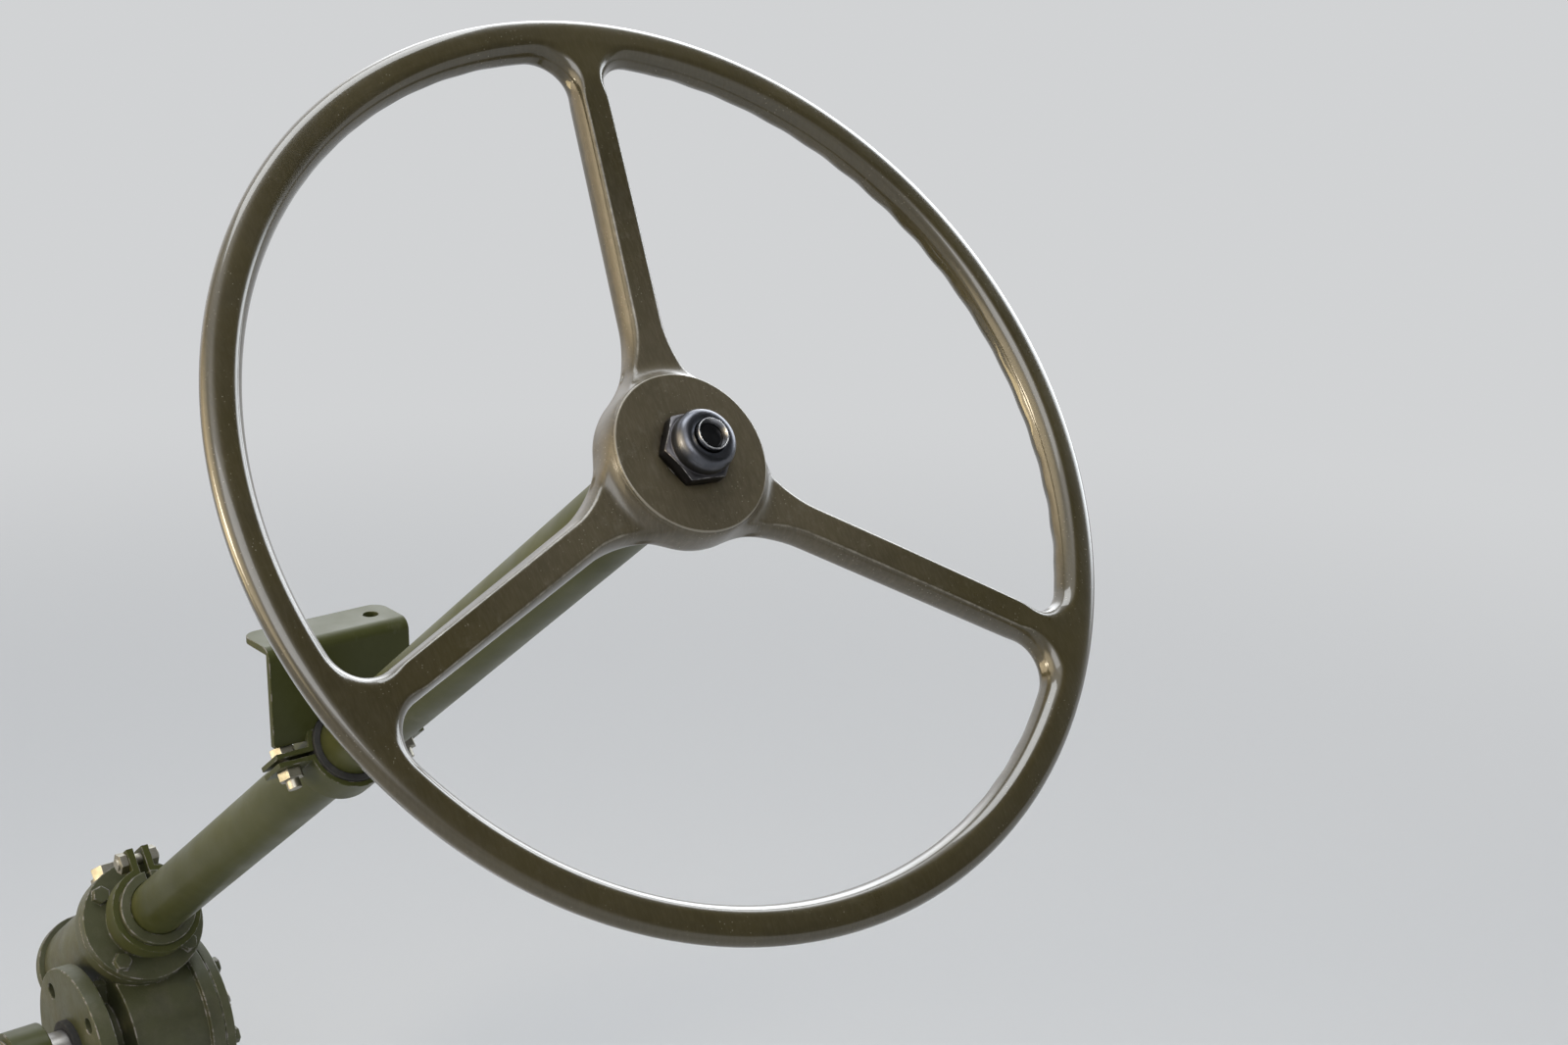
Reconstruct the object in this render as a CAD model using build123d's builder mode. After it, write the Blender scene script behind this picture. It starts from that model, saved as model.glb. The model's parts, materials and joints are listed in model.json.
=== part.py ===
from build123d import *

import os
from math import asin, cos, radians, sin, tan

# Steering wheel, column and gear box of a small army four-wheel-drive car.
#
# The wheel stands at the top of a sloping column. A tube shaft inside the column
# carries its turning down to a cast gear box, which is bolted to the frame. The
# box swings a drop arm, and the ball at the end of that arm moves the drag link.
#
# Lengths are in millimetres and angles in degrees. +X is the vehicle's right, +Y is
# forward and +Z is up. The origin is the centre of the box's bolted flange, on the
# axis of the lever shaft that carries the drop arm.

os.makedirs("parts", exist_ok=True)

# Fits
FIT = 0.03          # gap on the radius where one piece is held in another
RUN = 0.05          # gap on the radius where a shaft turns in its bore
SEAT_GAP = 0.3      # gap between a turning piece and a seat that it nearly touches

# Attitude of the column
COLUMN_SLOPE = 37.0     # above level
LEVER_OFFSET = 62.0     # lever shaft below the column axis, square to it
RIM_REACH = 865.0       # up the column, from beside the lever shaft to the rim's front
WHEEL_LEAN = -7.8       # the top spoke as parked, clockwise of upright

# Steering wheel. Heights are above the rim's front plane, towards the driver.
WHEEL_R = 219.0
RIM_WIDTH = 18.7
RIM_FACE = 7.3              # width of the flat front of the rim
RIM_OUTER_EDGE = 4.1        # rounding of the front face's outer edge
RIM_INNER_EDGE = 3.0        # rounding of the front face's inner edge
RIM_BACK_R = 8.5            # half-round back of the rim, so its depth is twice this
SPOKE_COUNT = 3
SPOKE_ROOT_WIDTH = 20.6     # as if carried on to the wheel's centre
SPOKE_TIP_WIDTH = 15.6      # where it meets the rim
SPOKE_THICKNESS = 14.5
SPOKE_BEVEL = 2.6
SPOKE_DISH = 3.15           # slope of a spoke's face down to the hub
SPOKE_SINK = 0.4            # spoke face below the rim's face
ROOT_FILLET = 52.0
WEB_FILLET = 17.0
WEB_SPREAD = 14.0           # half the angle of rim that a spoke's foot takes hold of
FOOT_DEPTH = 8.0            # how far a spoke's foot reaches into the rim
HUB_DISC_R = 37.7
HUB_DISC_TOP = -1.5
HUB_FLANK = 17.5
HUB_BODY_R = 40.0
HUB_BOSS_R = 29.0
HUB_DEPTH = 37.0
HUB_EDGE = 1.0
HUB_BULGE = 11.0            # the flank is widest this far below the disc
HUB_TUCK = 1.5              # how much the flank draws in again at its foot
HUB_SHELF = 3.0             # boss wider by this where it meets the flank
HUB_SHELF_DROP = 3.5

# Steel core in the hub
CORE_R = 15.4
CORE_SKIRT_R = 22.0
CORE_SKIRT = 14.0           # length of the wider skirt behind the hub
CORE_SKIRT_SHOWS = 6.0      # how far the skirt stands out behind the hub

# Wheel nut and horn button
NUT_FLATS = 31.0
NUT_TURN = 3.6              # one corner of the tightened nut, from square to the top spoke
NUT_HEX = 7.6
NUT_BARREL_R = 14.7
NUT_TOP = 15.6
NUT_SHOULDER = 4.2
NUT_DISH_R = 10.0
NUT_DISH = 0.8
NUT_CHAMFER = 1.2
THREAD_R = 9.5
THREAD_TOP = 12.0
COLLAR_R = 8.0
COLLAR_WALL = 1.2
COLLAR_TOP = 18.5
BUTTON_TOP = 15.5
BUTTON_DOME = 0.8

# Steering shaft and its top bearing
SHAFT_R = 11.0
SHAFT_BORE_R = 5.0
SHAFT_FOOT = -30.0
BEARING_LENGTH = 12.0
BEARING_DROP = 2.0          # bearing below the top edge of the jacket
SPRING_SEAT_R = 16.0
SPRING_SEAT_GAP = 1.0

# Column jacket
JACKET_R = 19.05
JACKET_WALL = 1.6
JACKET_DROP = 50.0          # top edge below the rim's front
JACKET_FOOT = 68.0

# Gear housing
BARREL_R = 34.0
BARREL_FOOT = -62.0
BARREL_TOP = 58.0
BARREL_FLANGE_R = 42.0
BARREL_CLEAR = 10.0         # between the barrel's flange and the frame flange's face
BARREL_FLANGE = 12.0
CHAMBER_R = 54.0
CHAMBER_NEAR = 26.0         # left end of the chamber, from the flange face
CHAMBER_FAR = 88.0
CHAMBER_RIM_R = 58.0
CHAMBER_RIM = 10.0
TRUNNION_R = 29.0
FLANGE_R = 57.0
FLANGE_THICKNESS = 12.0
FLANGE_HOLES = 4
FLANGE_PITCH_R = 44.0
FLANGE_HOLE_R = 5.6
RIB_THICKNESS = 8.0
RIB_REACH = 44.0

# Covers of the housing
COVER_THICKNESS = 8.0
SOCKET_R = 26.0
SOCKET_TOP = 100.0
SOCKET_SLIT = 3.0
SOCKET_SLIT_FOOT = 74.0
LOWER_COVER_R = 38.0
GLAND_R = 12.0
GLAND_LENGTH = 14.0
GLAND_BORE_R = 4.0
GLAND_BORE = 12.0
SIDE_COVER_THICKNESS = 7.0
SIDE_BOSS_R = 17.0
SIDE_BOSS = 8.0
HEAD_FLATS = 11.0
HEAD_HEIGHT = 4.5
UPPER_BOLTS = 4
LOWER_BOLTS = 4
SIDE_BOLTS = 6

# Adjuster and filler plug
ADJUSTER_R = 7.0
ADJUSTER_OUT = 13.0         # how far the screw stands out of its boss
ADJUSTER_SLOT = 2.0
ADJUSTER_SLOT_DEPTH = 3.0
LOCKNUT_FLATS = 22.0
LOCKNUT_HEIGHT = 8.0
FILLER_PLACE = 24.0         # up the column from beside the lever shaft
FILLER_BOSS_R = 13.0
FILLER_BOSS = 7.0
FILLER_HEAD_FLATS = 17.0
FILLER_HEAD = 7.0
FILLER_COLLAR = 3.0

# Clamp round the foot of the jacket
CLAMP_WALL = 4.5
CLAMP_FOOT = 80.0
CLAMP_LENGTH = 16.0
CLAMP_GAP = 6.0
CLAMP_EAR = 14.0
CLAMP_EAR_THICKNESS = 5.0
CLAMP_BOLT_R = 4.0
CLAMP_BOLT_OUT = 7.0

# Dash bracket
BRACKET_PLACE = 445.0       # up the column from beside the lever shaft
SLEEVE_WALL = 4.0
SLEEVE_LENGTH = 28.0
STRAP_WALL = 3.0
STRAP_LENGTH = 24.0
STRAP_SPLIT = 1.0           # half the gap between saddle and strap
EAR_REACH = 46.0
EAR_BOLT_AT = 36.0
EAR_BOLT_R = 4.0
EAR_BOLT_FLATS = 13.0
EAR_BOLT_HEAD = 5.5
UPRIGHT_HEIGHT = 70.0
UPRIGHT_THICKNESS = 4.0
UPRIGHT_HALF = 44.0
DASH_FLANGE = 34.0
DASH_HOLE_R = 4.5
DASH_HOLE_SPACING = 60.0
BEND_R = 7.0                # outside of the bend between upright and flange
PLATE_CORNER_R = 9.0

# Lever shaft and drop arm. Places are to the left of the flange face.
LEVER_R = 15.0
LEVER_INNER = 83.0          # inner end of the lever shaft, right of the flange face
SEAL_R = 21.0
SEAL_LENGTH = 5.0
ARM_NEAR = 20.0
ARM_HUB_R = 25.0
ARM_HUB_LENGTH = 26.0
ARM_THICKNESS = 14.0
ARM_LENGTH = 140.0
ARM_EYE_R = 17.0
ARM_EDGE = 2.0
ARM_THREAD_R = 11.0
ARM_NUT_FLATS = 36.0
ARM_NUT_HEIGHT = 12.0
ARM_WASHER = 1.6
ARM_WASHER_R = 20.0
ARM_THREAD_OUT = 3.0
BALL_R = 12.7
BALL_NECK_R = 8.0
BALL_OUT = 16.0             # ball's centre beyond the arm's outer face
BALL_SHANK_R = 8.0
BALL_RIVET_R = 11.0
BALL_RIVET = 2.5

# Planes. COLUMN looks up the column from beside the lever shaft, with its x to the
# vehicle's right. WHEEL lies in the rim's front plane, with its y along one spoke.
slope = radians(COLUMN_SLOPE)
up_column = Vector(0, -cos(slope), sin(slope))
square_up = Vector(0, sin(slope), cos(slope))
COLUMN_INSET = BARREL_FLANGE_R + BARREL_CLEAR
column_foot = Vector(COLUMN_INSET, 0, 0) + square_up * LEVER_OFFSET
COLUMN = Plane(origin=column_foot, x_dir=(1, 0, 0), z_dir=up_column)
LEVER = Plane(origin=(0, 0, 0), x_dir=(0, 1, 0), z_dir=(1, 0, 0))


def half_section(plane):
    """The plane through another one's axis: x is the radius, y the height on it."""
    return Plane(origin=plane.origin, x_dir=plane.x_dir, z_dir=-plane.y_dir)


def axis_of(plane):
    """The line that a turned piece is turned about."""
    return Axis(plane.origin, plane.z_dir)


def turned(plane, angle):
    """The plane turned about its own axis."""
    turn = radians(angle)
    new_x = plane.x_dir * cos(turn) + plane.y_dir * sin(turn)
    return Plane(origin=plane.origin, x_dir=new_x, z_dir=plane.z_dir)


def tipped(plane, angle):
    """The plane tipped about its own x, so that it rises along its y."""
    tip = radians(angle)
    new_z = plane.z_dir * cos(tip) - plane.y_dir * sin(tip)
    return Plane(origin=plane.origin, x_dir=plane.x_dir, z_dir=new_z)


WHEEL = turned(COLUMN.offset(RIM_REACH), WHEEL_LEAN)


# Wheel moulding: a turned rim, three dished spokes and a flat-faced hub
RIM_INNER_R = WHEEL_R - RIM_WIDTH
RIM_OUTER_CORNER = WHEEL_R - RIM_OUTER_EDGE
RIM_INNER_CORNER = RIM_OUTER_CORNER - RIM_FACE
RIM_ROUNDS = [
    # radius to the middle of the round, its own radius; each touches the front plane
    (RIM_OUTER_CORNER, RIM_OUTER_EDGE),
    (RIM_INNER_CORNER, RIM_INNER_EDGE),
    (RIM_INNER_R + RIM_BACK_R, RIM_BACK_R),
]
HUB_FOOT = HUB_DISC_TOP - HUB_DEPTH
HUB_SECTION = [
    # radius, height
    (CORE_R + FIT, HUB_DISC_TOP),
    (HUB_DISC_R, HUB_DISC_TOP),
    (HUB_BODY_R, HUB_DISC_TOP - HUB_BULGE),
    (HUB_BODY_R - HUB_TUCK, HUB_DISC_TOP - HUB_FLANK),
    (HUB_BOSS_R + HUB_SHELF, HUB_DISC_TOP - HUB_FLANK - HUB_SHELF_DROP),
    (HUB_BOSS_R, HUB_FOOT),
    (CORE_SKIRT_R + FIT, HUB_FOOT),
    (CORE_SKIRT_R + FIT, HUB_FOOT + CORE_SKIRT - CORE_SKIRT_SHOWS + FIT),
    (CORE_R + FIT, HUB_FOOT + CORE_SKIRT - CORE_SKIRT_SHOWS + FIT),
]
dish = radians(SPOKE_DISH)
FOOT_R = RIM_INNER_R + FOOT_DEPTH
SPOKE_DROP = SPOKE_SINK + FOOT_R * tan(dish)

with BuildPart() as steering_wheel:
    with BuildSketch(half_section(WHEEL)):
        for middle, rounding in RIM_ROUNDS:
            with Locations((middle, -rounding)):
                Circle(rounding)
        make_hull()
    revolve(axis=axis_of(WHEEL))
    with BuildSketch(half_section(WHEEL)) as hub_section:
        with BuildLine():
            Polyline(*HUB_SECTION, close=True)
        make_face()
        disc_edge = hub_section.vertices().group_by(Axis.Y)[-1].sort_by(Axis.X)[-1]
        fillet(disc_edge, HUB_EDGE)
    revolve(axis=axis_of(WHEEL))
    for spoke in range(SPOKE_COUNT):
        spoke_turn = 360 / SPOKE_COUNT * spoke
        face = tipped(turned(WHEEL.offset(-SPOKE_DROP), spoke_turn), SPOKE_DISH)
        with BuildPart() as spoke_blank:
            with BuildSketch(face.offset(-SPOKE_BEVEL)) as spoke_outline:
                Circle(HUB_DISC_R - HUB_EDGE)
                with BuildLine():
                    Polyline(
                        (-SPOKE_ROOT_WIDTH / 2, 0),
                        (SPOKE_ROOT_WIDTH / 2, 0),
                        (SPOKE_TIP_WIDTH / 2, FOOT_R - 2),
                        (-SPOKE_TIP_WIDTH / 2, FOOT_R - 2),
                        close=True,
                    )
                make_face()
                with BuildLine():
                    inner_edge = CenterArc((0, 0), RIM_INNER_R, 90 - WEB_SPREAD, 2 * WEB_SPREAD)
                    outer_edge = CenterArc((0, 0), FOOT_R, 90 - WEB_SPREAD, 2 * WEB_SPREAD)
                    Line(inner_edge @ 0, outer_edge @ 0)
                    Line(inner_edge @ 1, outer_edge @ 1)
                make_face()
                corners = spoke_outline.vertices()
                roots = corners.filter_by_position(Axis.Y, HUB_DISC_R * 0.9, HUB_DISC_R)
                feet = corners.filter_by_position(Axis.Y, RIM_INNER_R - 0.5, RIM_INNER_R + 0.01)
                webs = feet.filter_by_position(Axis.X, -SPOKE_ROOT_WIDTH, SPOKE_ROOT_WIDTH)
                fillet(roots, ROOT_FILLET)
                fillet(webs, WEB_FILLET)
            extrude(amount=SPOKE_BEVEL, taper=45)
            extrude(spoke_outline.sketch, amount=SPOKE_BEVEL - SPOKE_THICKNESS / 2)
            mirror(about=face.offset(-SPOKE_THICKNESS / 2))
    with BuildSketch(WHEEL.offset(HUB_DISC_TOP)):
        Circle(CORE_R + FIT)
    extrude(amount=-HUB_DEPTH, mode=Mode.SUBTRACT)
    with BuildSketch(WHEEL.offset(HUB_FOOT)):
        Circle(CORE_SKIRT_R + FIT)
    extrude(amount=CORE_SKIRT - CORE_SKIRT_SHOWS + FIT, mode=Mode.SUBTRACT)
steering_wheel.part.label = "steering_wheel"
export_step(steering_wheel.part, "parts/steering_wheel.step")

# Steel core: grips the shaft inside the moulded hub and shows as a skirt behind it
CORE_FOOT = HUB_FOOT - CORE_SKIRT_SHOWS
with BuildPart() as hub_core:
    with BuildSketch(WHEEL.offset(CORE_FOOT)):
        Circle(CORE_SKIRT_R)
    extrude(amount=CORE_SKIRT)
    with BuildSketch(WHEEL.offset(CORE_FOOT)):
        Circle(CORE_R)
    extrude(amount=HUB_DISC_TOP - CORE_FOOT)
    with BuildSketch(WHEEL.offset(CORE_FOOT)):
        Circle(SHAFT_R + FIT)
    extrude(amount=HUB_DISC_TOP - CORE_FOOT, mode=Mode.SUBTRACT)
hub_core.part.label = "hub_core"
export_step(hub_core.part, "parts/hub_core.step")

# Wheel nut: a hexagon that runs up into a round barrel with a dished top
NUT_FOOT = HUB_DISC_TOP
nut_wide = NUT_FLATS / 2 / cos(radians(30))
with BuildPart() as wheel_nut:
    with BuildSketch(WHEEL.offset(NUT_FOOT)):
        RegularPolygon(NUT_FLATS / 2, 6, major_radius=False, rotation=NUT_TURN)
    extrude(amount=NUT_HEX)
    with BuildSketch(half_section(WHEEL)):
        with BuildLine():
            Polyline(
                (0, NUT_FOOT),
                (nut_wide, NUT_FOOT),
                (nut_wide, NUT_FOOT + NUT_HEX - NUT_CHAMFER),
                (NUT_FLATS / 2 - 0.4, NUT_FOOT + NUT_HEX),
                (0, NUT_FOOT + NUT_HEX),
                close=True,
            )
        make_face()
    revolve(axis=axis_of(WHEEL), mode=Mode.INTERSECT)
    with BuildSketch(half_section(WHEEL)) as barrel:
        with BuildLine():
            Polyline(
                (0, NUT_FOOT + NUT_HEX - 1),
                (NUT_BARREL_R, NUT_FOOT + NUT_HEX - 1),
                (NUT_BARREL_R, NUT_TOP),
                (NUT_DISH_R, NUT_TOP),
                (COLLAR_R + FIT, NUT_TOP - NUT_DISH),
                (0, NUT_TOP - NUT_DISH),
                close=True,
            )
        make_face()
        shoulder = barrel.vertices().group_by(Axis.X)[-1].sort_by(Axis.Y)[-1]
        fillet(shoulder, NUT_SHOULDER)
    revolve(axis=axis_of(WHEEL))
    with BuildSketch(WHEEL.offset(NUT_FOOT)):
        Circle(THREAD_R + FIT)
    extrude(amount=THREAD_TOP - NUT_FOOT, mode=Mode.SUBTRACT)
    with BuildSketch(WHEEL.offset(THREAD_TOP)):
        Circle(COLLAR_R + FIT)
    extrude(amount=NUT_TOP - THREAD_TOP, mode=Mode.SUBTRACT)
wheel_nut.part.label = "wheel_nut"
export_step(wheel_nut.part, "parts/wheel_nut.step")

# Collar that stands up out of the nut and holds the horn button
COLLAR_FOOT = THREAD_TOP
with BuildPart() as horn_collar:
    with BuildSketch(WHEEL.offset(COLLAR_FOOT)):
        Circle(COLLAR_R)
    extrude(amount=COLLAR_TOP - COLLAR_FOOT)
    with BuildSketch(WHEEL.offset(COLLAR_FOOT + COLLAR_WALL)):
        Circle(COLLAR_R - COLLAR_WALL)
    extrude(amount=COLLAR_TOP - COLLAR_FOOT, mode=Mode.SUBTRACT)
    fillet(horn_collar.faces().sort_by(axis_of(WHEEL))[-1].outer_wire().edges(), COLLAR_WALL * 0.4)
horn_collar.part.label = "horn_collar"
export_step(horn_collar.part, "parts/horn_collar.step")

BUTTON_R = COLLAR_R - COLLAR_WALL - FIT
dome_r = (BUTTON_R**2 + BUTTON_DOME**2) / (2 * BUTTON_DOME)
dome_half = asin(BUTTON_R / dome_r) / 2
with BuildPart() as horn_button:
    with BuildSketch(half_section(WHEEL)):
        with BuildLine():
            Line((0, COLLAR_FOOT + COLLAR_WALL), (BUTTON_R, COLLAR_FOOT + COLLAR_WALL))
            Line((BUTTON_R, COLLAR_FOOT + COLLAR_WALL), (BUTTON_R, BUTTON_TOP - BUTTON_DOME))
            ThreePointArc(
                (BUTTON_R, BUTTON_TOP - BUTTON_DOME),
                (dome_r * sin(dome_half), BUTTON_TOP - dome_r * (1 - cos(dome_half))),
                (0, BUTTON_TOP),
            )
            Line((0, BUTTON_TOP), (0, COLLAR_FOOT + COLLAR_WALL))
        make_face()
    revolve(axis=axis_of(WHEEL))
horn_button.part.label = "horn_button"
export_step(horn_button.part, "parts/horn_button.step")

# Steering shaft: a tube from the gear box to the nut, with its top turned down
with BuildPart() as steering_shaft:
    with BuildSketch(COLUMN.offset(SHAFT_FOOT)):
        Circle(SHAFT_R)
    extrude(amount=RIM_REACH + HUB_DISC_TOP - FIT - SHAFT_FOOT)
    with BuildSketch(COLUMN.offset(SHAFT_FOOT)):
        Circle(THREAD_R)
    extrude(amount=RIM_REACH + THREAD_TOP - FIT - SHAFT_FOOT)
    with BuildSketch(COLUMN.offset(SHAFT_FOOT)):
        Circle(SHAFT_BORE_R)
    extrude(amount=RIM_REACH + THREAD_TOP - SHAFT_FOOT, mode=Mode.SUBTRACT)
steering_shaft.part.label = "steering_shaft"
export_step(steering_shaft.part, "parts/steering_shaft.step")

# Jacket: the still tube round the shaft
JACKET_TOP = RIM_REACH - JACKET_DROP
with BuildPart() as column_jacket:
    with BuildSketch(COLUMN.offset(JACKET_FOOT)):
        Circle(JACKET_R)
        Circle(JACKET_R - JACKET_WALL, mode=Mode.SUBTRACT)
    extrude(amount=JACKET_TOP - JACKET_FOOT)
column_jacket.part.label = "column_jacket"
export_step(column_jacket.part, "parts/column_jacket.step")

# Bearing pressed into the top of the jacket
BEARING_TOP = JACKET_TOP - BEARING_DROP
with BuildPart() as top_bearing:
    with BuildSketch(COLUMN.offset(BEARING_TOP - BEARING_LENGTH)):
        Circle(JACKET_R - JACKET_WALL - FIT)
        Circle(SHAFT_R + RUN, mode=Mode.SUBTRACT)
    extrude(amount=BEARING_LENGTH)
top_bearing.part.label = "top_bearing"
export_step(top_bearing.part, "parts/top_bearing.step")

# Seat between the bearing and the hub's steel skirt, turning with the shaft
with BuildPart() as bearing_seat:
    with BuildSketch(COLUMN.offset(BEARING_TOP + SPRING_SEAT_GAP)):
        Circle(SPRING_SEAT_R)
        Circle(SHAFT_R + FIT, mode=Mode.SUBTRACT)
    extrude(amount=RIM_REACH + CORE_FOOT - BEARING_TOP - SPRING_SEAT_GAP)
bearing_seat.part.label = "bearing_seat"
export_step(bearing_seat.part, "parts/bearing_seat.step")

# Gear housing: a barrel round the column's foot, a drum round the lever shaft, and
# a neck with the flange that bolts to the frame
with BuildPart() as gear_housing:
    with BuildSketch(COLUMN.offset(BARREL_FOOT)):
        Circle(BARREL_R)
    extrude(amount=BARREL_TOP - BARREL_FOOT)
    with BuildSketch(COLUMN.offset(BARREL_TOP - BARREL_FLANGE)):
        Circle(BARREL_FLANGE_R)
    extrude(amount=BARREL_FLANGE)
    with BuildSketch(LEVER.offset(CHAMBER_NEAR)):
        Circle(CHAMBER_R)
    extrude(amount=CHAMBER_FAR - CHAMBER_NEAR)
    with BuildSketch(LEVER.offset(CHAMBER_FAR - CHAMBER_RIM)):
        Circle(CHAMBER_RIM_R)
    extrude(amount=CHAMBER_RIM)
    with BuildSketch(LEVER):
        Circle(TRUNNION_R)
    extrude(amount=CHAMBER_NEAR)
    with BuildSketch(LEVER):
        Circle(FLANGE_R)
        with PolarLocations(FLANGE_PITCH_R, FLANGE_HOLES, start_angle=45):
            Circle(FLANGE_HOLE_R, mode=Mode.SUBTRACT)
    extrude(amount=FLANGE_THICKNESS)
    with BuildSketch(LEVER.offset(FLANGE_THICKNESS)):
        Rectangle(2 * RIB_REACH, RIB_THICKNESS)
        Rectangle(RIB_THICKNESS, 2 * RIB_REACH)
    extrude(amount=CHAMBER_NEAR - FLANGE_THICKNESS)
    filler_plane = Plane(
        origin=COLUMN.offset(FILLER_PLACE).origin,
        x_dir=(1, 0, 0),
        z_dir=square_up,
    )
    with BuildSketch(filler_plane):
        Circle(FILLER_BOSS_R)
    extrude(amount=BARREL_R + FILLER_BOSS)
    with BuildSketch(LEVER):
        Circle(LEVER_R + RUN)
    extrude(amount=CHAMBER_FAR, mode=Mode.SUBTRACT)
    with BuildSketch(COLUMN.offset(SHAFT_FOOT - SPRING_SEAT_GAP)):
        Circle(SHAFT_R + RUN)
    extrude(amount=BARREL_TOP - SHAFT_FOOT + SPRING_SEAT_GAP, mode=Mode.SUBTRACT)
gear_housing.part.label = "gear_housing"
export_step(gear_housing.part, "parts/gear_housing.step")

# Upper cover: closes the barrel and holds the jacket in a split socket
UPPER_BOLT_R = (BARREL_FLANGE_R + SOCKET_R) / 2
UPPER_COVER_TOP = BARREL_TOP + COVER_THICKNESS
with BuildPart() as upper_cover:
    with BuildSketch(COLUMN.offset(BARREL_TOP)):
        Circle(BARREL_FLANGE_R)
    extrude(amount=COVER_THICKNESS)
    with BuildSketch(COLUMN.offset(UPPER_COVER_TOP)):
        Circle(SOCKET_R)
    extrude(amount=SOCKET_TOP - UPPER_COVER_TOP)
    with BuildSketch(COLUMN.offset(UPPER_COVER_TOP)):
        with PolarLocations(UPPER_BOLT_R, UPPER_BOLTS, start_angle=45):
            RegularPolygon(HEAD_FLATS / 2, 6, major_radius=False)
    extrude(amount=HEAD_HEIGHT)
    with BuildSketch(COLUMN.offset(JACKET_FOOT)):
        Circle(JACKET_R + FIT)
    extrude(amount=SOCKET_TOP - JACKET_FOOT, mode=Mode.SUBTRACT)
    with BuildSketch(COLUMN.offset(BARREL_TOP)):
        Circle(SHAFT_R + RUN)
    extrude(amount=SOCKET_TOP - BARREL_TOP, mode=Mode.SUBTRACT)
    with BuildSketch(COLUMN.offset(SOCKET_SLIT_FOOT)):
        Rectangle(SOCKET_SLIT, 2 * SOCKET_R, align=(Align.CENTER, Align.MIN))
    extrude(amount=SOCKET_TOP - SOCKET_SLIT_FOOT, mode=Mode.SUBTRACT)
upper_cover.part.label = "upper_cover"
export_step(upper_cover.part, "parts/upper_cover.step")

# Clamp that squeezes the split socket on to the jacket
CLAMP_INNER_R = SOCKET_R + FIT
CLAMP_OUTER_R = CLAMP_INNER_R + CLAMP_WALL
CLAMP_EAR_HALF = CLAMP_GAP / 2 + CLAMP_EAR_THICKNESS
CLAMP_BOLT_AT = CLAMP_OUTER_R + CLAMP_EAR / 2
with BuildPart() as jacket_clamp:
    with BuildSketch(COLUMN.offset(CLAMP_FOOT)):
        Circle(CLAMP_OUTER_R)
        Rectangle(2 * CLAMP_EAR_HALF, CLAMP_OUTER_R + CLAMP_EAR, align=(Align.CENTER, Align.MIN))
        Rectangle(
            CLAMP_GAP,
            CLAMP_OUTER_R + CLAMP_EAR,
            align=(Align.CENTER, Align.MIN),
            mode=Mode.SUBTRACT,
        )
        Circle(CLAMP_INNER_R, mode=Mode.SUBTRACT)
    extrude(amount=CLAMP_LENGTH)
    clamp_bolt_origin = COLUMN.offset(CLAMP_FOOT + CLAMP_LENGTH / 2).origin + square_up * CLAMP_BOLT_AT
    clamp_bolt_plane = Plane(origin=clamp_bolt_origin, x_dir=square_up, z_dir=(1, 0, 0))
    with BuildSketch(clamp_bolt_plane.offset(-CLAMP_EAR_HALF)):
        Circle(CLAMP_BOLT_R + FIT)
    extrude(amount=2 * CLAMP_EAR_HALF, mode=Mode.SUBTRACT)
jacket_clamp.part.label = "jacket_clamp"
export_step(jacket_clamp.part, "parts/jacket_clamp.step")

with BuildPart() as clamp_bolt:
    with BuildSketch(clamp_bolt_plane.offset(-CLAMP_EAR_HALF - CLAMP_BOLT_OUT)):
        Circle(CLAMP_BOLT_R)
    extrude(amount=2 * CLAMP_EAR_HALF + 2 * CLAMP_BOLT_OUT)
    with BuildSketch(clamp_bolt_plane.offset(CLAMP_EAR_HALF)):
        RegularPolygon(EAR_BOLT_FLATS / 2, 6, major_radius=False)
    extrude(amount=EAR_BOLT_HEAD)
    with BuildSketch(clamp_bolt_plane.offset(-CLAMP_EAR_HALF)):
        RegularPolygon(EAR_BOLT_FLATS / 2, 6, major_radius=False)
    extrude(amount=-EAR_BOLT_HEAD)
clamp_bolt.part.label = "clamp_bolt"
export_step(clamp_bolt.part, "parts/clamp_bolt.step")

# Lower cover with the outlet for the horn wire
LOWER_BOLT_R = (LOWER_COVER_R + GLAND_R) / 2 + 2.0
with BuildPart() as lower_cover:
    with BuildSketch(COLUMN.offset(BARREL_FOOT)):
        Circle(LOWER_COVER_R)
    extrude(amount=-COVER_THICKNESS)
    with BuildSketch(COLUMN.offset(BARREL_FOOT - COVER_THICKNESS)):
        Circle(GLAND_R)
        with PolarLocations(LOWER_BOLT_R, LOWER_BOLTS, start_angle=45):
            RegularPolygon(HEAD_FLATS / 2, 6, major_radius=False)
    extrude(amount=-HEAD_HEIGHT)
    with BuildSketch(COLUMN.offset(BARREL_FOOT - COVER_THICKNESS)):
        Circle(GLAND_R)
    extrude(amount=-GLAND_LENGTH)
    with BuildSketch(COLUMN.offset(BARREL_FOOT - COVER_THICKNESS - GLAND_LENGTH)):
        Circle(GLAND_BORE_R)
    extrude(amount=GLAND_BORE, mode=Mode.SUBTRACT)
lower_cover.part.label = "lower_cover"
export_step(lower_cover.part, "parts/lower_cover.step")

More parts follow.
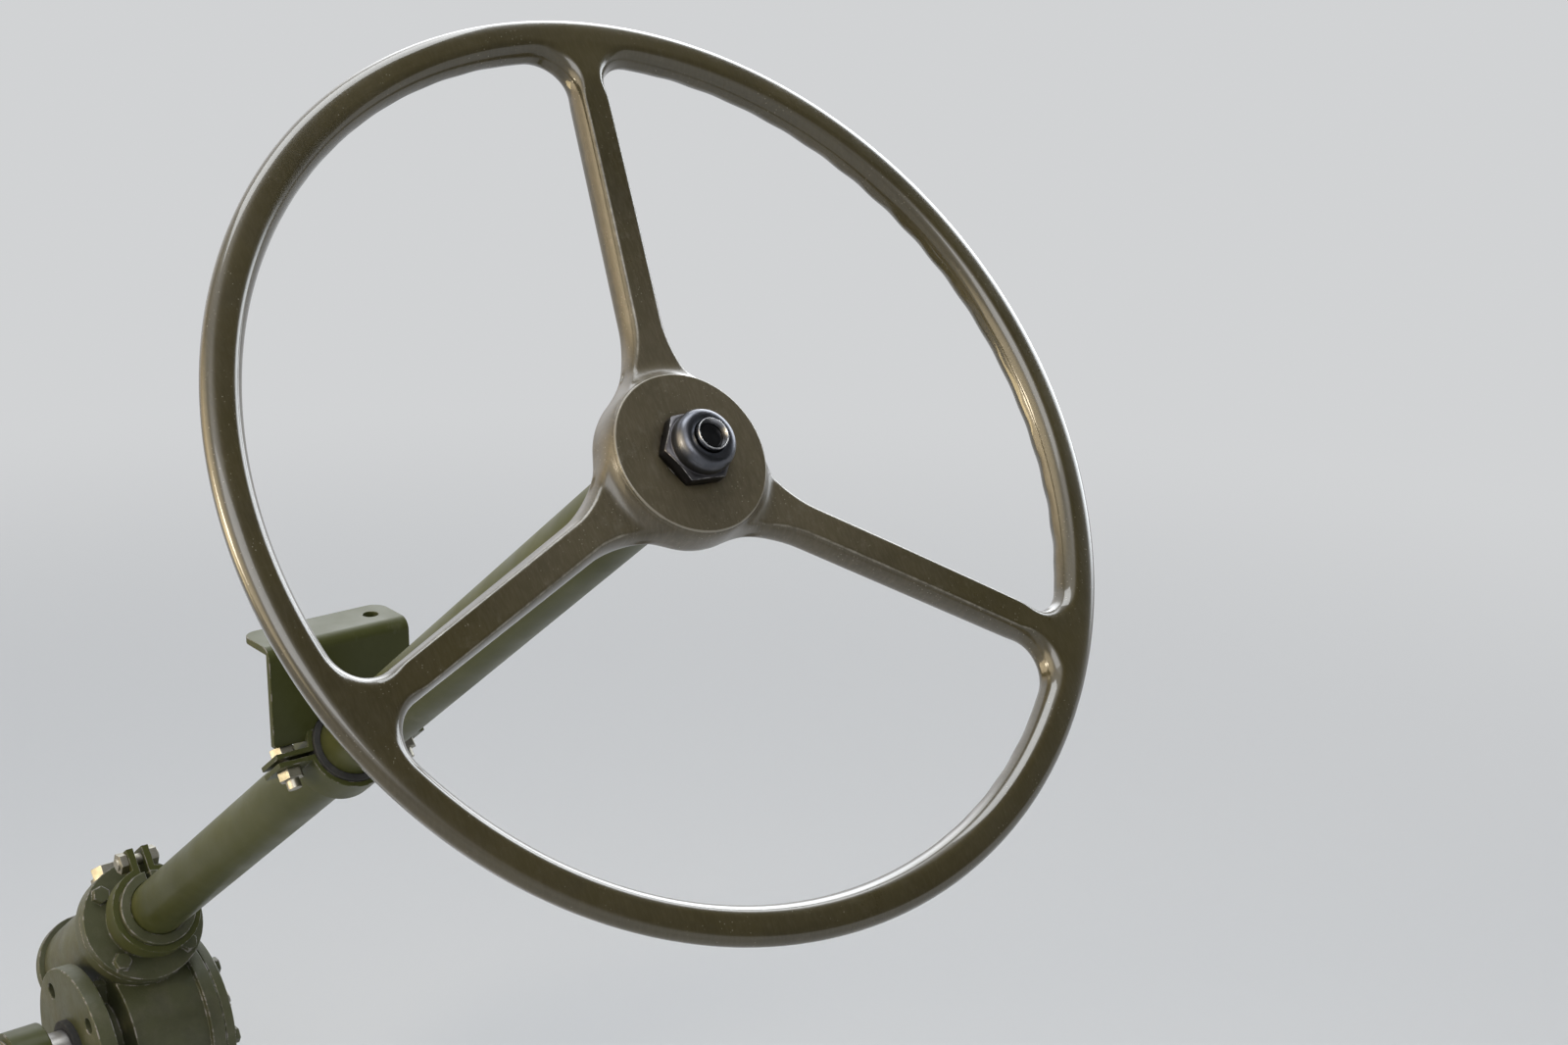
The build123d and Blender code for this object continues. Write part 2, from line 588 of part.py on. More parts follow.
# Side cover over the drum, with the boss for the adjuster
SIDE_FACE = CHAMBER_FAR + SIDE_COVER_THICKNESS
SIDE_BOLT_R = CHAMBER_RIM_R - HEAD_FLATS * 0.75
with BuildPart() as side_cover:
    with BuildSketch(LEVER.offset(CHAMBER_FAR)):
        Circle(CHAMBER_RIM_R)
    extrude(amount=SIDE_COVER_THICKNESS)
    with BuildSketch(LEVER.offset(SIDE_FACE)):
        Circle(SIDE_BOSS_R)
    extrude(amount=SIDE_BOSS)
    with BuildSketch(LEVER.offset(SIDE_FACE)):
        with PolarLocations(SIDE_BOLT_R, SIDE_BOLTS):
            RegularPolygon(HEAD_FLATS / 2, 6, major_radius=False)
    extrude(amount=HEAD_HEIGHT)
    with BuildSketch(LEVER.offset(CHAMBER_FAR)):
        Circle(ADJUSTER_R + FIT)
    extrude(amount=SIDE_COVER_THICKNESS + SIDE_BOSS, mode=Mode.SUBTRACT)
side_cover.part.label = "side_cover"
export_step(side_cover.part, "parts/side_cover.step")

# Adjuster screw, which bears on the end of the lever shaft, and its locknut
BOSS_FACE = SIDE_FACE + SIDE_BOSS
ADJUSTER_TOP = BOSS_FACE + ADJUSTER_OUT
with BuildPart() as adjuster_screw:
    with BuildSketch(LEVER.offset(LEVER_INNER + SEAT_GAP)):
        Circle(ADJUSTER_R)
    extrude(amount=ADJUSTER_TOP - LEVER_INNER - SEAT_GAP)
    with BuildSketch(LEVER.offset(ADJUSTER_TOP)):
        Rectangle(3 * ADJUSTER_R, ADJUSTER_SLOT)
    extrude(amount=-ADJUSTER_SLOT_DEPTH, mode=Mode.SUBTRACT)
adjuster_screw.part.label = "adjuster_screw"
export_step(adjuster_screw.part, "parts/adjuster_screw.step")

with BuildPart() as adjuster_locknut:
    with BuildSketch(LEVER.offset(BOSS_FACE)):
        RegularPolygon(LOCKNUT_FLATS / 2, 6, major_radius=False)
        Circle(ADJUSTER_R + FIT, mode=Mode.SUBTRACT)
    extrude(amount=LOCKNUT_HEIGHT)
adjuster_locknut.part.label = "adjuster_locknut"
export_step(adjuster_locknut.part, "parts/adjuster_locknut.step")

# Filler plug on the barrel
FILLER_FACE = BARREL_R + FILLER_BOSS
with BuildPart() as filler_plug:
    with BuildSketch(filler_plane.offset(FILLER_FACE)):
        Circle(FILLER_BOSS_R - 1.5)
    extrude(amount=FILLER_COLLAR)
    with BuildSketch(filler_plane.offset(FILLER_FACE + FILLER_COLLAR)):
        RegularPolygon(FILLER_HEAD_FLATS / 2, 6, major_radius=False)
    extrude(amount=FILLER_HEAD)
filler_plug.part.label = "filler_plug"
export_step(filler_plug.part, "parts/filler_plug.step")

# Rubber sleeve between the jacket and the dash bracket
BRACKET = COLUMN.offset(BRACKET_PLACE)
SLEEVE_INNER_R = JACKET_R + FIT
SLEEVE_R = SLEEVE_INNER_R + SLEEVE_WALL
with BuildPart() as bracket_sleeve:
    with BuildSketch(BRACKET.offset(-SLEEVE_LENGTH / 2)):
        Circle(SLEEVE_R)
        Circle(SLEEVE_INNER_R, mode=Mode.SUBTRACT)
    extrude(amount=SLEEVE_LENGTH)
bracket_sleeve.part.label = "bracket_sleeve"
export_step(bracket_sleeve.part, "parts/bracket_sleeve.step")

# Dash bracket: a saddle over the sleeve, an upright and a level flange with two holes
SADDLE_INNER_R = SLEEVE_R + FIT
SADDLE_R = SADDLE_INNER_R + STRAP_WALL
ear_places = [(-EAR_BOLT_AT, 0), (EAR_BOLT_AT, 0)]
ear_bolt_plane = Plane(origin=BRACKET.origin, x_dir=(1, 0, 0), z_dir=square_up)
with BuildPart() as dash_bracket:
    with BuildSketch(BRACKET.offset(-STRAP_LENGTH / 2)):
        Circle(SADDLE_R)
        Rectangle(2 * EAR_REACH, 2 * (STRAP_SPLIT + STRAP_WALL))
        with Locations((0, STRAP_SPLIT)):
            Rectangle(
                2 * EAR_REACH,
                SADDLE_R + 2 * STRAP_SPLIT,
                align=(Align.CENTER, Align.MAX),
                mode=Mode.SUBTRACT,
            )
    extrude(amount=STRAP_LENGTH)
    upright_plane = Plane(origin=BRACKET.origin, x_dir=(0, 1, 0), z_dir=(1, 0, 0))
    with BuildSketch(upright_plane.offset(-UPRIGHT_HALF)) as upright_section:
        with Locations((-UPRIGHT_THICKNESS / 2, SADDLE_INNER_R / 2)):
            Rectangle(
                UPRIGHT_THICKNESS,
                UPRIGHT_HEIGHT - SADDLE_INNER_R / 2,
                align=(Align.MIN, Align.MIN),
            )
        with Locations((-UPRIGHT_THICKNESS / 2, UPRIGHT_HEIGHT)):
            Rectangle(DASH_FLANGE, UPRIGHT_THICKNESS, align=(Align.MIN, Align.MAX))
        bend = upright_section.vertices()
        outside = bend.filter_by_position(Axis.X, -UPRIGHT_THICKNESS, 0).sort_by(Axis.Y)[-1]
        inside = bend.filter_by_position(Axis.X, 0, UPRIGHT_THICKNESS).sort_by(Axis.Y)[-1]
        fillet(outside, BEND_R)
        fillet(inside, BEND_R - UPRIGHT_THICKNESS)
    extrude(amount=2 * UPRIGHT_HALF)
    plate_edges = dash_bracket.edges().filter_by(Axis.Z)
    flange_corners = plate_edges.group_by(Axis.Y)[-1]
    fillet(flange_corners, PLATE_CORNER_R)
    with BuildSketch(BRACKET.offset(-UPRIGHT_HEIGHT)):
        Circle(SADDLE_INNER_R)
    extrude(amount=2 * UPRIGHT_HEIGHT, mode=Mode.SUBTRACT)
    dash_face = Plane(origin=BRACKET.origin + Vector(0, DASH_FLANGE / 2, UPRIGHT_HEIGHT))
    with BuildSketch(dash_face):
        with GridLocations(DASH_HOLE_SPACING, 1, 2, 1):
            Circle(DASH_HOLE_R)
    extrude(amount=-UPRIGHT_THICKNESS, mode=Mode.SUBTRACT)
    with BuildSketch(ear_bolt_plane):
        with Locations(*ear_places):
            Circle(EAR_BOLT_R + FIT)
    extrude(amount=STRAP_SPLIT + STRAP_WALL, mode=Mode.SUBTRACT)
dash_bracket.part.label = "dash_bracket"
export_step(dash_bracket.part, "parts/dash_bracket.step")

# Strap under the sleeve, bolted up to the saddle
with BuildPart() as bracket_strap:
    with BuildSketch(BRACKET.offset(-STRAP_LENGTH / 2)):
        Circle(SADDLE_R)
        Rectangle(2 * EAR_REACH, 2 * (STRAP_SPLIT + STRAP_WALL))
        with Locations((0, -STRAP_SPLIT)):
            Rectangle(
                2 * EAR_REACH,
                SADDLE_R + 2 * STRAP_SPLIT,
                align=(Align.CENTER, Align.MIN),
                mode=Mode.SUBTRACT,
            )
        Circle(SADDLE_INNER_R, mode=Mode.SUBTRACT)
    extrude(amount=STRAP_LENGTH)
    with BuildSketch(ear_bolt_plane):
        with Locations(*ear_places):
            Circle(EAR_BOLT_R + FIT)
    extrude(amount=-STRAP_SPLIT - STRAP_WALL, mode=Mode.SUBTRACT)
bracket_strap.part.label = "bracket_strap"
export_step(bracket_strap.part, "parts/bracket_strap.step")

EAR_FACE = STRAP_SPLIT + STRAP_WALL
for name, place in [("bracket_bolt_left", ear_places[0]), ("bracket_bolt_right", ear_places[1])]:
    with BuildPart() as bracket_bolt:
        with BuildSketch(ear_bolt_plane.offset(-EAR_FACE - 2 * EAR_BOLT_HEAD)):
            with Locations(place):
                Circle(EAR_BOLT_R)
        extrude(amount=2 * EAR_FACE + 3 * EAR_BOLT_HEAD)
        with BuildSketch(ear_bolt_plane.offset(EAR_FACE)):
            with Locations(place):
                RegularPolygon(EAR_BOLT_FLATS / 2, 6, major_radius=False)
        extrude(amount=EAR_BOLT_HEAD)
        with BuildSketch(ear_bolt_plane.offset(-EAR_FACE)):
            with Locations(place):
                RegularPolygon(EAR_BOLT_FLATS / 2, 6, major_radius=False)
        extrude(amount=-EAR_BOLT_HEAD)
    bracket_bolt.part.label = name
    export_step(bracket_bolt.part, f"parts/{name}.step")

# Seal round the lever shaft, in the hole of the frame
with BuildPart() as shaft_seal:
    with BuildSketch(LEVER):
        Circle(SEAL_R)
        Circle(LEVER_R + SEAT_GAP, mode=Mode.SUBTRACT)
    extrude(amount=-SEAL_LENGTH)
shaft_seal.part.label = "shaft_seal"
export_step(shaft_seal.part, "parts/shaft_seal.step")

# Lever shaft: from the drum out through the flange, with a thread for the arm's nut
ARM_FAR = ARM_NEAR + ARM_HUB_LENGTH
NUT_FAR = ARM_FAR + ARM_WASHER + ARM_NUT_HEIGHT
with BuildPart() as lever_shaft:
    with BuildSketch(LEVER.offset(-ARM_FAR + ARM_WASHER)):
        Circle(LEVER_R)
    extrude(amount=ARM_FAR - ARM_WASHER + LEVER_INNER)
    with BuildSketch(LEVER.offset(-NUT_FAR - ARM_THREAD_OUT)):
        Circle(ARM_THREAD_R)
    extrude(amount=NUT_FAR + ARM_THREAD_OUT)
lever_shaft.part.label = "lever_shaft"
export_step(lever_shaft.part, "parts/lever_shaft.step")

# Drop arm: a forging that hangs from the lever shaft, with the ball's eye below
ARM_MIDDLE = ARM_NEAR + ARM_HUB_LENGTH / 2
with BuildPart() as drop_arm:
    with BuildSketch(LEVER.offset(-ARM_MIDDLE - ARM_THICKNESS / 2)) as arm_outline:
        Circle(ARM_HUB_R - 2)
        with Locations((0, -ARM_LENGTH)):
            Circle(ARM_EYE_R)
        make_hull()
    extrude(amount=ARM_THICKNESS)
    fillet(drop_arm.faces().sort_by(Axis.X)[0].edges(), ARM_EDGE)
    fillet(drop_arm.faces().sort_by(Axis.X)[-1].edges(), ARM_EDGE)
    with BuildSketch(LEVER.offset(-ARM_FAR)):
        Circle(ARM_HUB_R)
    extrude(amount=ARM_HUB_LENGTH)
    with BuildSketch(LEVER.offset(-ARM_FAR)):
        Circle(LEVER_R + FIT)
        with Locations((0, -ARM_LENGTH)):
            Circle(BALL_SHANK_R + FIT)
    extrude(amount=ARM_HUB_LENGTH, mode=Mode.SUBTRACT)
drop_arm.part.label = "drop_arm"
export_step(drop_arm.part, "parts/drop_arm.step")

with BuildPart() as arm_washer:
    with BuildSketch(LEVER.offset(-ARM_FAR)):
        Circle(ARM_WASHER_R)
        Circle(ARM_THREAD_R + FIT, mode=Mode.SUBTRACT)
    extrude(amount=-ARM_WASHER)
arm_washer.part.label = "arm_washer"
export_step(arm_washer.part, "parts/arm_washer.step")

with BuildPart() as arm_nut:
    with BuildSketch(LEVER.offset(-ARM_FAR - ARM_WASHER)):
        RegularPolygon(ARM_NUT_FLATS / 2, 6, major_radius=False)
        Circle(ARM_THREAD_R + FIT, mode=Mode.SUBTRACT)
    extrude(amount=-ARM_NUT_HEIGHT)
arm_nut.part.label = "arm_nut"
export_step(arm_nut.part, "parts/arm_nut.step")

# Ball stud, riveted through the arm's eye
EYE_NEAR = ARM_MIDDLE - ARM_THICKNESS / 2
EYE_FAR = ARM_MIDDLE + ARM_THICKNESS / 2
BALL_AT = EYE_FAR + BALL_OUT
with BuildPart() as ball_stud:
    with BuildSketch(Plane(origin=(-BALL_AT, 0, -ARM_LENGTH), x_dir=(0, 1, 0), z_dir=(1, 0, 0))):
        Circle(BALL_NECK_R)
    extrude(amount=BALL_AT - EYE_NEAR + BALL_RIVET)
    with BuildSketch(Plane(origin=(-EYE_NEAR, 0, -ARM_LENGTH), x_dir=(0, 1, 0), z_dir=(1, 0, 0))):
        Circle(BALL_RIVET_R)
    extrude(amount=BALL_RIVET)
    with Locations((-BALL_AT, 0, -ARM_LENGTH)):
        Sphere(BALL_R)
ball_stud.part.label = "ball_stud"
export_step(ball_stud.part, "parts/ball_stud.step")
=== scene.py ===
# %% [markdown]
# Steering gear of an army 4x4 car: a three-spoke wheel, its column and its gear box.
# The solids come ready made and fixed in one frame. This lesson dresses them: it
# works out finer surfaces for the pieces that are seen closely, gives every piece a
# finish, and sets a plain studio around them.

# %% Load the frame
import json
from math import atan2, cos, pi, radians, sin, sqrt, tan

import bmesh
import bpy
import numpy as np
from mathutils import Matrix, Vector

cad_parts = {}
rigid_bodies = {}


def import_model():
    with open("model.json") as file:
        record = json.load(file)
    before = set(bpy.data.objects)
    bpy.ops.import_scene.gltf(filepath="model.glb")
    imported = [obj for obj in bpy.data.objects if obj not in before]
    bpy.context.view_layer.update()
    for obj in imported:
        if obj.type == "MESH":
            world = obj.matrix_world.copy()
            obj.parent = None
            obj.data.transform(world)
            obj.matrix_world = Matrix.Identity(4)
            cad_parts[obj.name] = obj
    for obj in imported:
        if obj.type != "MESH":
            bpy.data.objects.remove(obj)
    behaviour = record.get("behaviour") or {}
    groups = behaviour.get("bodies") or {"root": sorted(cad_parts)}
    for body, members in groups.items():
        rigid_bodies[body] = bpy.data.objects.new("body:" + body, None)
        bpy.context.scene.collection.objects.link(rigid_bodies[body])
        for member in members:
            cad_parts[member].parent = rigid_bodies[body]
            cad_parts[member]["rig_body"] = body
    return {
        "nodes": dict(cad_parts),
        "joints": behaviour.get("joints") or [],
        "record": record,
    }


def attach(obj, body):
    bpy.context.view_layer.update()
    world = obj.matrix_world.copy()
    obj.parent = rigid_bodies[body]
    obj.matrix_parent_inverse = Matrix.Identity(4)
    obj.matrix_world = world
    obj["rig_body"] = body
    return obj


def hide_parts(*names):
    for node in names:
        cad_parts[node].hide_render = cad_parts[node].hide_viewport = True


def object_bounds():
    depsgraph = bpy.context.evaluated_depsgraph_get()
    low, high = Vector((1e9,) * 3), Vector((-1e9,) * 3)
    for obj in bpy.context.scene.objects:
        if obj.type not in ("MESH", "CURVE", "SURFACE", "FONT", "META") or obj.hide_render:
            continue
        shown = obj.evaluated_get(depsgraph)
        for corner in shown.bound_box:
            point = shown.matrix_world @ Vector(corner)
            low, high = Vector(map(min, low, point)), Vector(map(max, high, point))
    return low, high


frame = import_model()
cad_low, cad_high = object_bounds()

print("pieces in the frame:", len(frame["nodes"]))

# %% [markdown]
# The wheel, its nut and its button are all turned about the column's line. The joints
# of the frame say where that line is and which way it points, so no place is typed
# twice. Sizes are written in millimetres, as on a drawing, and become metres when a
# mesh is made.

# %% The wheel's axes
MM = 0.001
joints = {joint["name"]: joint for joint in frame["joints"]}
WHEEL_CENTRE = np.array(joints["wheel_turn"]["pos_m"], float)
UP_COLUMN = np.array(joints["wheel_turn"]["axis"], float)
RIGHT = np.array([1.0, 0.0, 0.0])
SQUARE_UP = np.cross(UP_COLUMN, RIGHT)
WHEEL_LEAN = radians(-7.8)      # the top spoke stands a little clockwise of upright
SPOKE_SIDE = RIGHT * cos(WHEEL_LEAN) + SQUARE_UP * sin(WHEEL_LEAN)
SPOKE_UP = SQUARE_UP * cos(WHEEL_LEAN) - RIGHT * sin(WHEEL_LEAN)


def on_wheel(x, y, z):
    """Points in the wheel's own axes (millimetres: across, up the top spoke, out of
    the front face) as points of the frame in metres."""
    x, y, z = np.broadcast_arrays(x, y, z)
    place = x[..., None] * SPOKE_SIDE + y[..., None] * SPOKE_UP + z[..., None] * UP_COLUMN
    return WHEEL_CENTRE + MM * place


print("wheel centre:", WHEEL_CENTRE.round(4), "column direction:", UP_COLUMN.round(4))

# %% [markdown]
# The photograph was taken from the left of the wheel, held very nearly level, looking
# down a little and to the right of forward. The camera stands there again, with the
# same long lens. Its place is written from the wheel's centre along its own three
# directions.

# %% Camera
HEADING = radians(38.659)       # right of forward
PITCH = radians(17.531)         # below level
ROLL = radians(-0.541)
FOCAL_PIXELS = 2502.7
PHOTO_WIDTH = 1600
SENSOR = 36.0
WHEEL_FROM_CAMERA = (-39.40, -31.41, 1069.67)    # right, down and ahead, in millimetres

ahead = np.array([sin(HEADING) * cos(PITCH), cos(HEADING) * cos(PITCH), -sin(PITCH)])
level = np.array([cos(HEADING), -sin(HEADING), 0.0])
steep = np.cross(ahead, level)
rightward = level * cos(ROLL) + steep * sin(ROLL)
downward = steep * cos(ROLL) - level * sin(ROLL)
view_axes = (rightward, downward, ahead)
offset = sum(length * axis for length, axis in zip(WHEEL_FROM_CAMERA, view_axes))
camera_place = WHEEL_CENTRE - MM * offset

camera_data = bpy.data.cameras.new("photo_camera")
camera_data.sensor_width = SENSOR
camera_data.sensor_fit = "HORIZONTAL"
camera_data.lens = SENSOR * FOCAL_PIXELS / PHOTO_WIDTH
camera_data.clip_start = 0.02
camera_data.clip_end = 50
camera = bpy.data.objects.new("photo_camera", camera_data)
bpy.context.scene.collection.objects.link(camera)
turn = Matrix([rightward, -downward, -ahead]).transposed().to_4x4()
camera.matrix_world = Matrix.Translation(Vector(camera_place)) @ turn
bpy.context.scene.camera = camera
print("camera at", camera_place.round(3), "lens", round(camera_data.lens, 1))

# %% [markdown]
# The floor, the sky and every finish are small trees of nodes. Two helpers keep that
# work short: one gives a socket a value or a link, and the other makes a node with its
# settings and all of its inputs at once.

# %% Nodes


def feed(tree, socket, value):
    """Give a socket a number, a vector, a colour of three parts or a node's output."""
    if isinstance(value, bpy.types.NodeSocket):
        tree.links.new(value, socket)
    elif socket.type == "RGBA":
        socket.default_value = (*value, 1)
    else:
        socket.default_value = value


def add_node(tree, kind, inputs=None, **settings):
    """A new node with its settings, and its inputs by name or number."""
    node = tree.nodes.new(kind)
    for key, value in settings.items():
        setattr(node, key, value)
    for key, value in (inputs or {}).items():
        feed(tree, node.inputs[key], value)
    return node


# %% [markdown]
# The studio is a pale floor and a pale sky. Near the object the floor is a matte sheet
# that takes its shadow; farther off, where only the camera looks, it passes into the
# same pale tone as the sky, so no horizon shows. The sky that lights the scene is weak
# and even. The sky that polished edges mirror has soft bright patches, in the
# directions that the highlights of the photograph ask for, because a mirrored sky is
# what draws the thin bright lines along the wheel.

# %% Floor
FLOOR_DROP = 12.0       # millimetres below the lowest point of the object
FLOOR_HALF = 30.0       # metres, as the fade's distances are
FLOOR_GREY = (0.60, 0.60, 0.60)
FLOOR_ROUGHNESS = 0.8
PALE = (0.64, 0.65, 0.66)
FADE_CENTRE = (0.0, -0.25)
FADE_FROM = 0.9
FADE_TO = 2.6

floor_z = cad_low[2] - FLOOR_DROP * MM
corners = [
    (across * FLOOR_HALF, along * FLOOR_HALF, floor_z)
    for across, along in ((-1, -1), (1, -1), (1, 1), (-1, 1))
]
floor_mesh = bpy.data.meshes.new("floor")
floor_mesh.from_pydata(corners, [], [(0, 1, 2, 3)])
floor = bpy.data.objects.new("floor", floor_mesh)
bpy.context.scene.collection.objects.link(floor)

floor_material = bpy.data.materials.new("floor")
floor_material.use_nodes = True
tree = floor_material.node_tree
matte = tree.nodes["Principled BSDF"]
feed(tree, matte.inputs["Base Color"], FLOOR_GREY)
feed(tree, matte.inputs["Roughness"], FLOOR_ROUGHNESS)
pale = add_node(tree, "ShaderNodeEmission", {"Color": PALE})
ground = add_node(tree, "ShaderNodeTexCoord").outputs["Object"]
off_centre = add_node(
    tree, "ShaderNodeVectorMath", {0: ground, 1: (*FADE_CENTRE, floor_z)}, operation="DISTANCE"
)
fade = add_node(
    tree,
    "ShaderNodeMapRange",
    {"From Min": FADE_FROM, "From Max": FADE_TO, "Value": off_centre.outputs["Value"]},
    interpolation_type="SMOOTHSTEP",
)
ways = add_node(tree, "ShaderNodeLightPath").outputs
looks = add_node(
    tree,
    "ShaderNodeMath",
    {0: ways["Is Camera Ray"], 1: ways["Is Glossy Ray"]},
    operation="MAXIMUM",
)
seen = add_node(
    tree, "ShaderNodeMath", {0: looks.outputs[0], 1: fade.outputs["Result"]}, operation="MULTIPLY"
)
blend = add_node(
    tree, "ShaderNodeMixShader", {0: seen.outputs[0], 1: matte.outputs[0], 2: pale.outputs[0]}
)
tree.links.new(blend.outputs[0], tree.nodes["Material Output"].inputs["Surface"])
floor_mesh.materials.append(floor_material)
print("floor at", round(floor_z, 3))

# %% The sky
SKY_PATCHES = [
    # direction, edge and core in degrees, colour, strength
    ((0.0, 0.92, 0.38), 40, 18, (0.93, 0.95, 1.0), 0.8),
    ((0.60, 0.64, 0.48), 28, 12, (0.93, 0.96, 1.0), 3.4),
    ((0.82, 0.42, 0.38), 28, 12, (0.93, 0.96, 1.0), 3.4),
    ((0.95, 0.06, 0.27), 24, 9, (0.90, 0.95, 1.0), 5.5),
    ((-0.30, 0.10, 0.95), 34, 12, (1.0, 0.97, 0.92), 0.6),
    ((-0.40, -0.60, 0.69), 32, 10, (0.96, 0.93, 0.92), 1.5),
    ((-0.93, 0.10, 0.24), 42, 17, (1.0, 0.82, 0.54), 2.8),
    ((-0.78, 0.60, 0.10), 34, 12, (1.0, 0.72, 0.36), 1.2),
]
DARK_PATCH = ((0.55, -0.55, 0.63), 56, 36, (0.95, 0.95, 0.90), 0.06)    # laid over, not added
DULL_SKY = (0.50, 0.50, 0.51)       # what lies under the patches
SOFT_SKY = (0.86, 0.90, 0.95)       # what lights the scene
SOFT_STRENGTH = 0.55

world = bpy.data.worlds.new("studio_sky")
bpy.context.scene.world = world
world.use_nodes = True
sky = world.node_tree
sky.nodes.clear()
ray = add_node(sky, "ShaderNodeTexCoord").outputs["Generated"]


def sky_patch(below, direction, edge, core, colour, strength, blend="ADD"):
    """A soft patch of sky round a direction, full inside one angle and nothing outside
    the other. It is added to what lies below it, or laid over it."""
    facing = add_node(
        sky,
        "ShaderNodeVectorMath",
        {0: ray, 1: Vector(direction).normalized()},
        operation="DOT_PRODUCT",
    )
    low, high = cos(radians(edge)), cos(radians(core))
    share = add_node(
        sky,
        "ShaderNodeMapRange",
        {"From Min": low, "From Max": high, "Value": facing.outputs["Value"]},
        interpolation_type="SMOOTHSTEP",
    )
    glow = tuple(strength * part for part in colour)
    inputs = {0: share.outputs["Result"], 6: below, 7: glow}
    return add_node(sky, "ShaderNodeMix", inputs, data_type="RGBA", blend_type=blend).outputs[2]


mirrored = sky_patch(DULL_SKY, *DARK_PATCH, "MIX")
for patch in SKY_PATCHES:
    mirrored = sky_patch(mirrored, *patch)
soft = add_node(sky, "ShaderNodeBackground", {"Color": SOFT_SKY, "Strength": SOFT_STRENGTH})
glossy = add_node(sky, "ShaderNodeBackground", {"Color": mirrored})
far = add_node(sky, "ShaderNodeBackground", {"Color": PALE})
ways = add_node(sky, "ShaderNodeLightPath").outputs
through = add_node(
    sky,
    "ShaderNodeMath",
    {0: ways["Is Camera Ray"], 1: ways["Is Transmission Ray"]},
    operation="MAXIMUM",
)
first = add_node(
    sky, "ShaderNodeMixShader", {0: ways["Is Glossy Ray"], 1: soft.outputs[0], 2: glossy.outputs[0]}
)
second = add_node(
    sky, "ShaderNodeMixShader", {0: through.outputs[0], 1: first.outputs[0], 2: far.outputs[0]}
)
add_node(sky, "ShaderNodeOutputWorld", {"Surface": second.outputs[0]})
print("sky patches:", len(SKY_PATCHES) + 1)

# %% [markdown]
# The lamps stand where the light of the photograph came from. A rounded edge mirrors
# the place that lies opposite to the camera about its slope: the upper edges of the rim
# mirror the cool light ahead and above, the left edge the low warm light on the left,
# and the flat faces a dimmer place above on the right. Each panel is turned to the wheel.

# %% Lamps
LAMPS = [
    # name, direction, distance, size, watts, colour, spread in degrees
    ("open_sky", (0.05, 0.35, 1.0), 2.2, (1.8, 1.2), 34, (0.94, 0.97, 1.0), 180),
    ("low_sun", (-0.94, 0.20, 0.22), 2.2, (0.6, 0.5), 4.1, (1.0, 0.86, 0.64), 90),
    ("low_bounce", (-0.83, 0.54, -0.10), 2.0, (0.8, 0.5), 2.0, (1.0, 0.78, 0.42), 90),
    ("fill", (-0.45, -0.66, 0.70), 2.6, (1.5, 1.5), 16, (0.96, 0.98, 1.0), 180),
]


def panel_lamp(name, direction, distance, size, power, colour, spread):
    """A rectangular soft lamp at a distance from the wheel's centre, in a direction,
    that faces the wheel. A small spread, as from a gridded panel, keeps its light off
    the floor beside it."""
    direction = np.array(direction, float)
    place = WHEEL_CENTRE + distance * direction / np.linalg.norm(direction)
    data = bpy.data.lights.new(name, "AREA")
    data.shape = "RECTANGLE"
    data.size = size[0]
    data.size_y = size[1]
    data.energy = power
    data.color = colour
    data.spread = radians(spread)
    lamp = bpy.data.objects.new(name, data)
    bpy.context.scene.collection.objects.link(lamp)
    aim = Vector(WHEEL_CENTRE) - Vector(place)
    turned = aim.to_track_quat("-Z", "Y").to_matrix().to_4x4()
    lamp.matrix_world = Matrix.Translation(Vector(place)) @ turned


for lamp_row in LAMPS:
    panel_lamp(*lamp_row)
bpy.context.scene.view_settings.view_transform = "Standard"

# %% [markdown]
# A surface here is a sheet of points: its rows go once round an axis or an opening, and
# each row runs across the surface. These helpers turn such sheets into one mesh. Each
# face joins four neighbouring points, the last row joins the first, and points that
# coincide are merged, so that sheets which share a border become one skin. Each sheet
# also carries a map, with its distance round and across in metres, for patterns that
# follow it, a value for how much of an edge each point is, for wear, and a bright share
# from 0 to 1: where it is low a steel finish goes near-black, which paints shade in the
# collar's mouth and at the foot of the nut's barrel.

# %% Sheets into meshes
SAME_POINT = 0.004      # points nearer than this, in millimetres, become one


def sheet_faces(rows, columns, start):
    """Quads of a sheet: point (i, j) is joined to (i+1, j), (i+1, j+1) and (i, j+1)."""
    i = np.arange(rows)[:, None]
    j = np.arange(columns - 1)[None, :]
    here, beyond = i * columns + j, (i + 1) % rows * columns + j
    return np.stack([here, beyond, beyond + 1, here + 1], axis=-1).reshape(-1, 4) + start


def sheet_map(points):
    """Distance run along each of the two directions of a grid, in metres."""
    step_u = np.linalg.norm(np.diff(points, axis=0), axis=-1)
    step_v = np.linalg.norm(np.diff(points, axis=1), axis=-1)
    u = np.vstack([np.zeros((1, points.shape[1])), np.cumsum(step_u, axis=0)])
    v = np.hstack([np.zeros((points.shape[0], 1)), np.cumsum(step_v, axis=1)])
    u = np.broadcast_to(u.mean(axis=1, keepdims=True), u.shape)
    return np.stack([u, v], axis=-1)


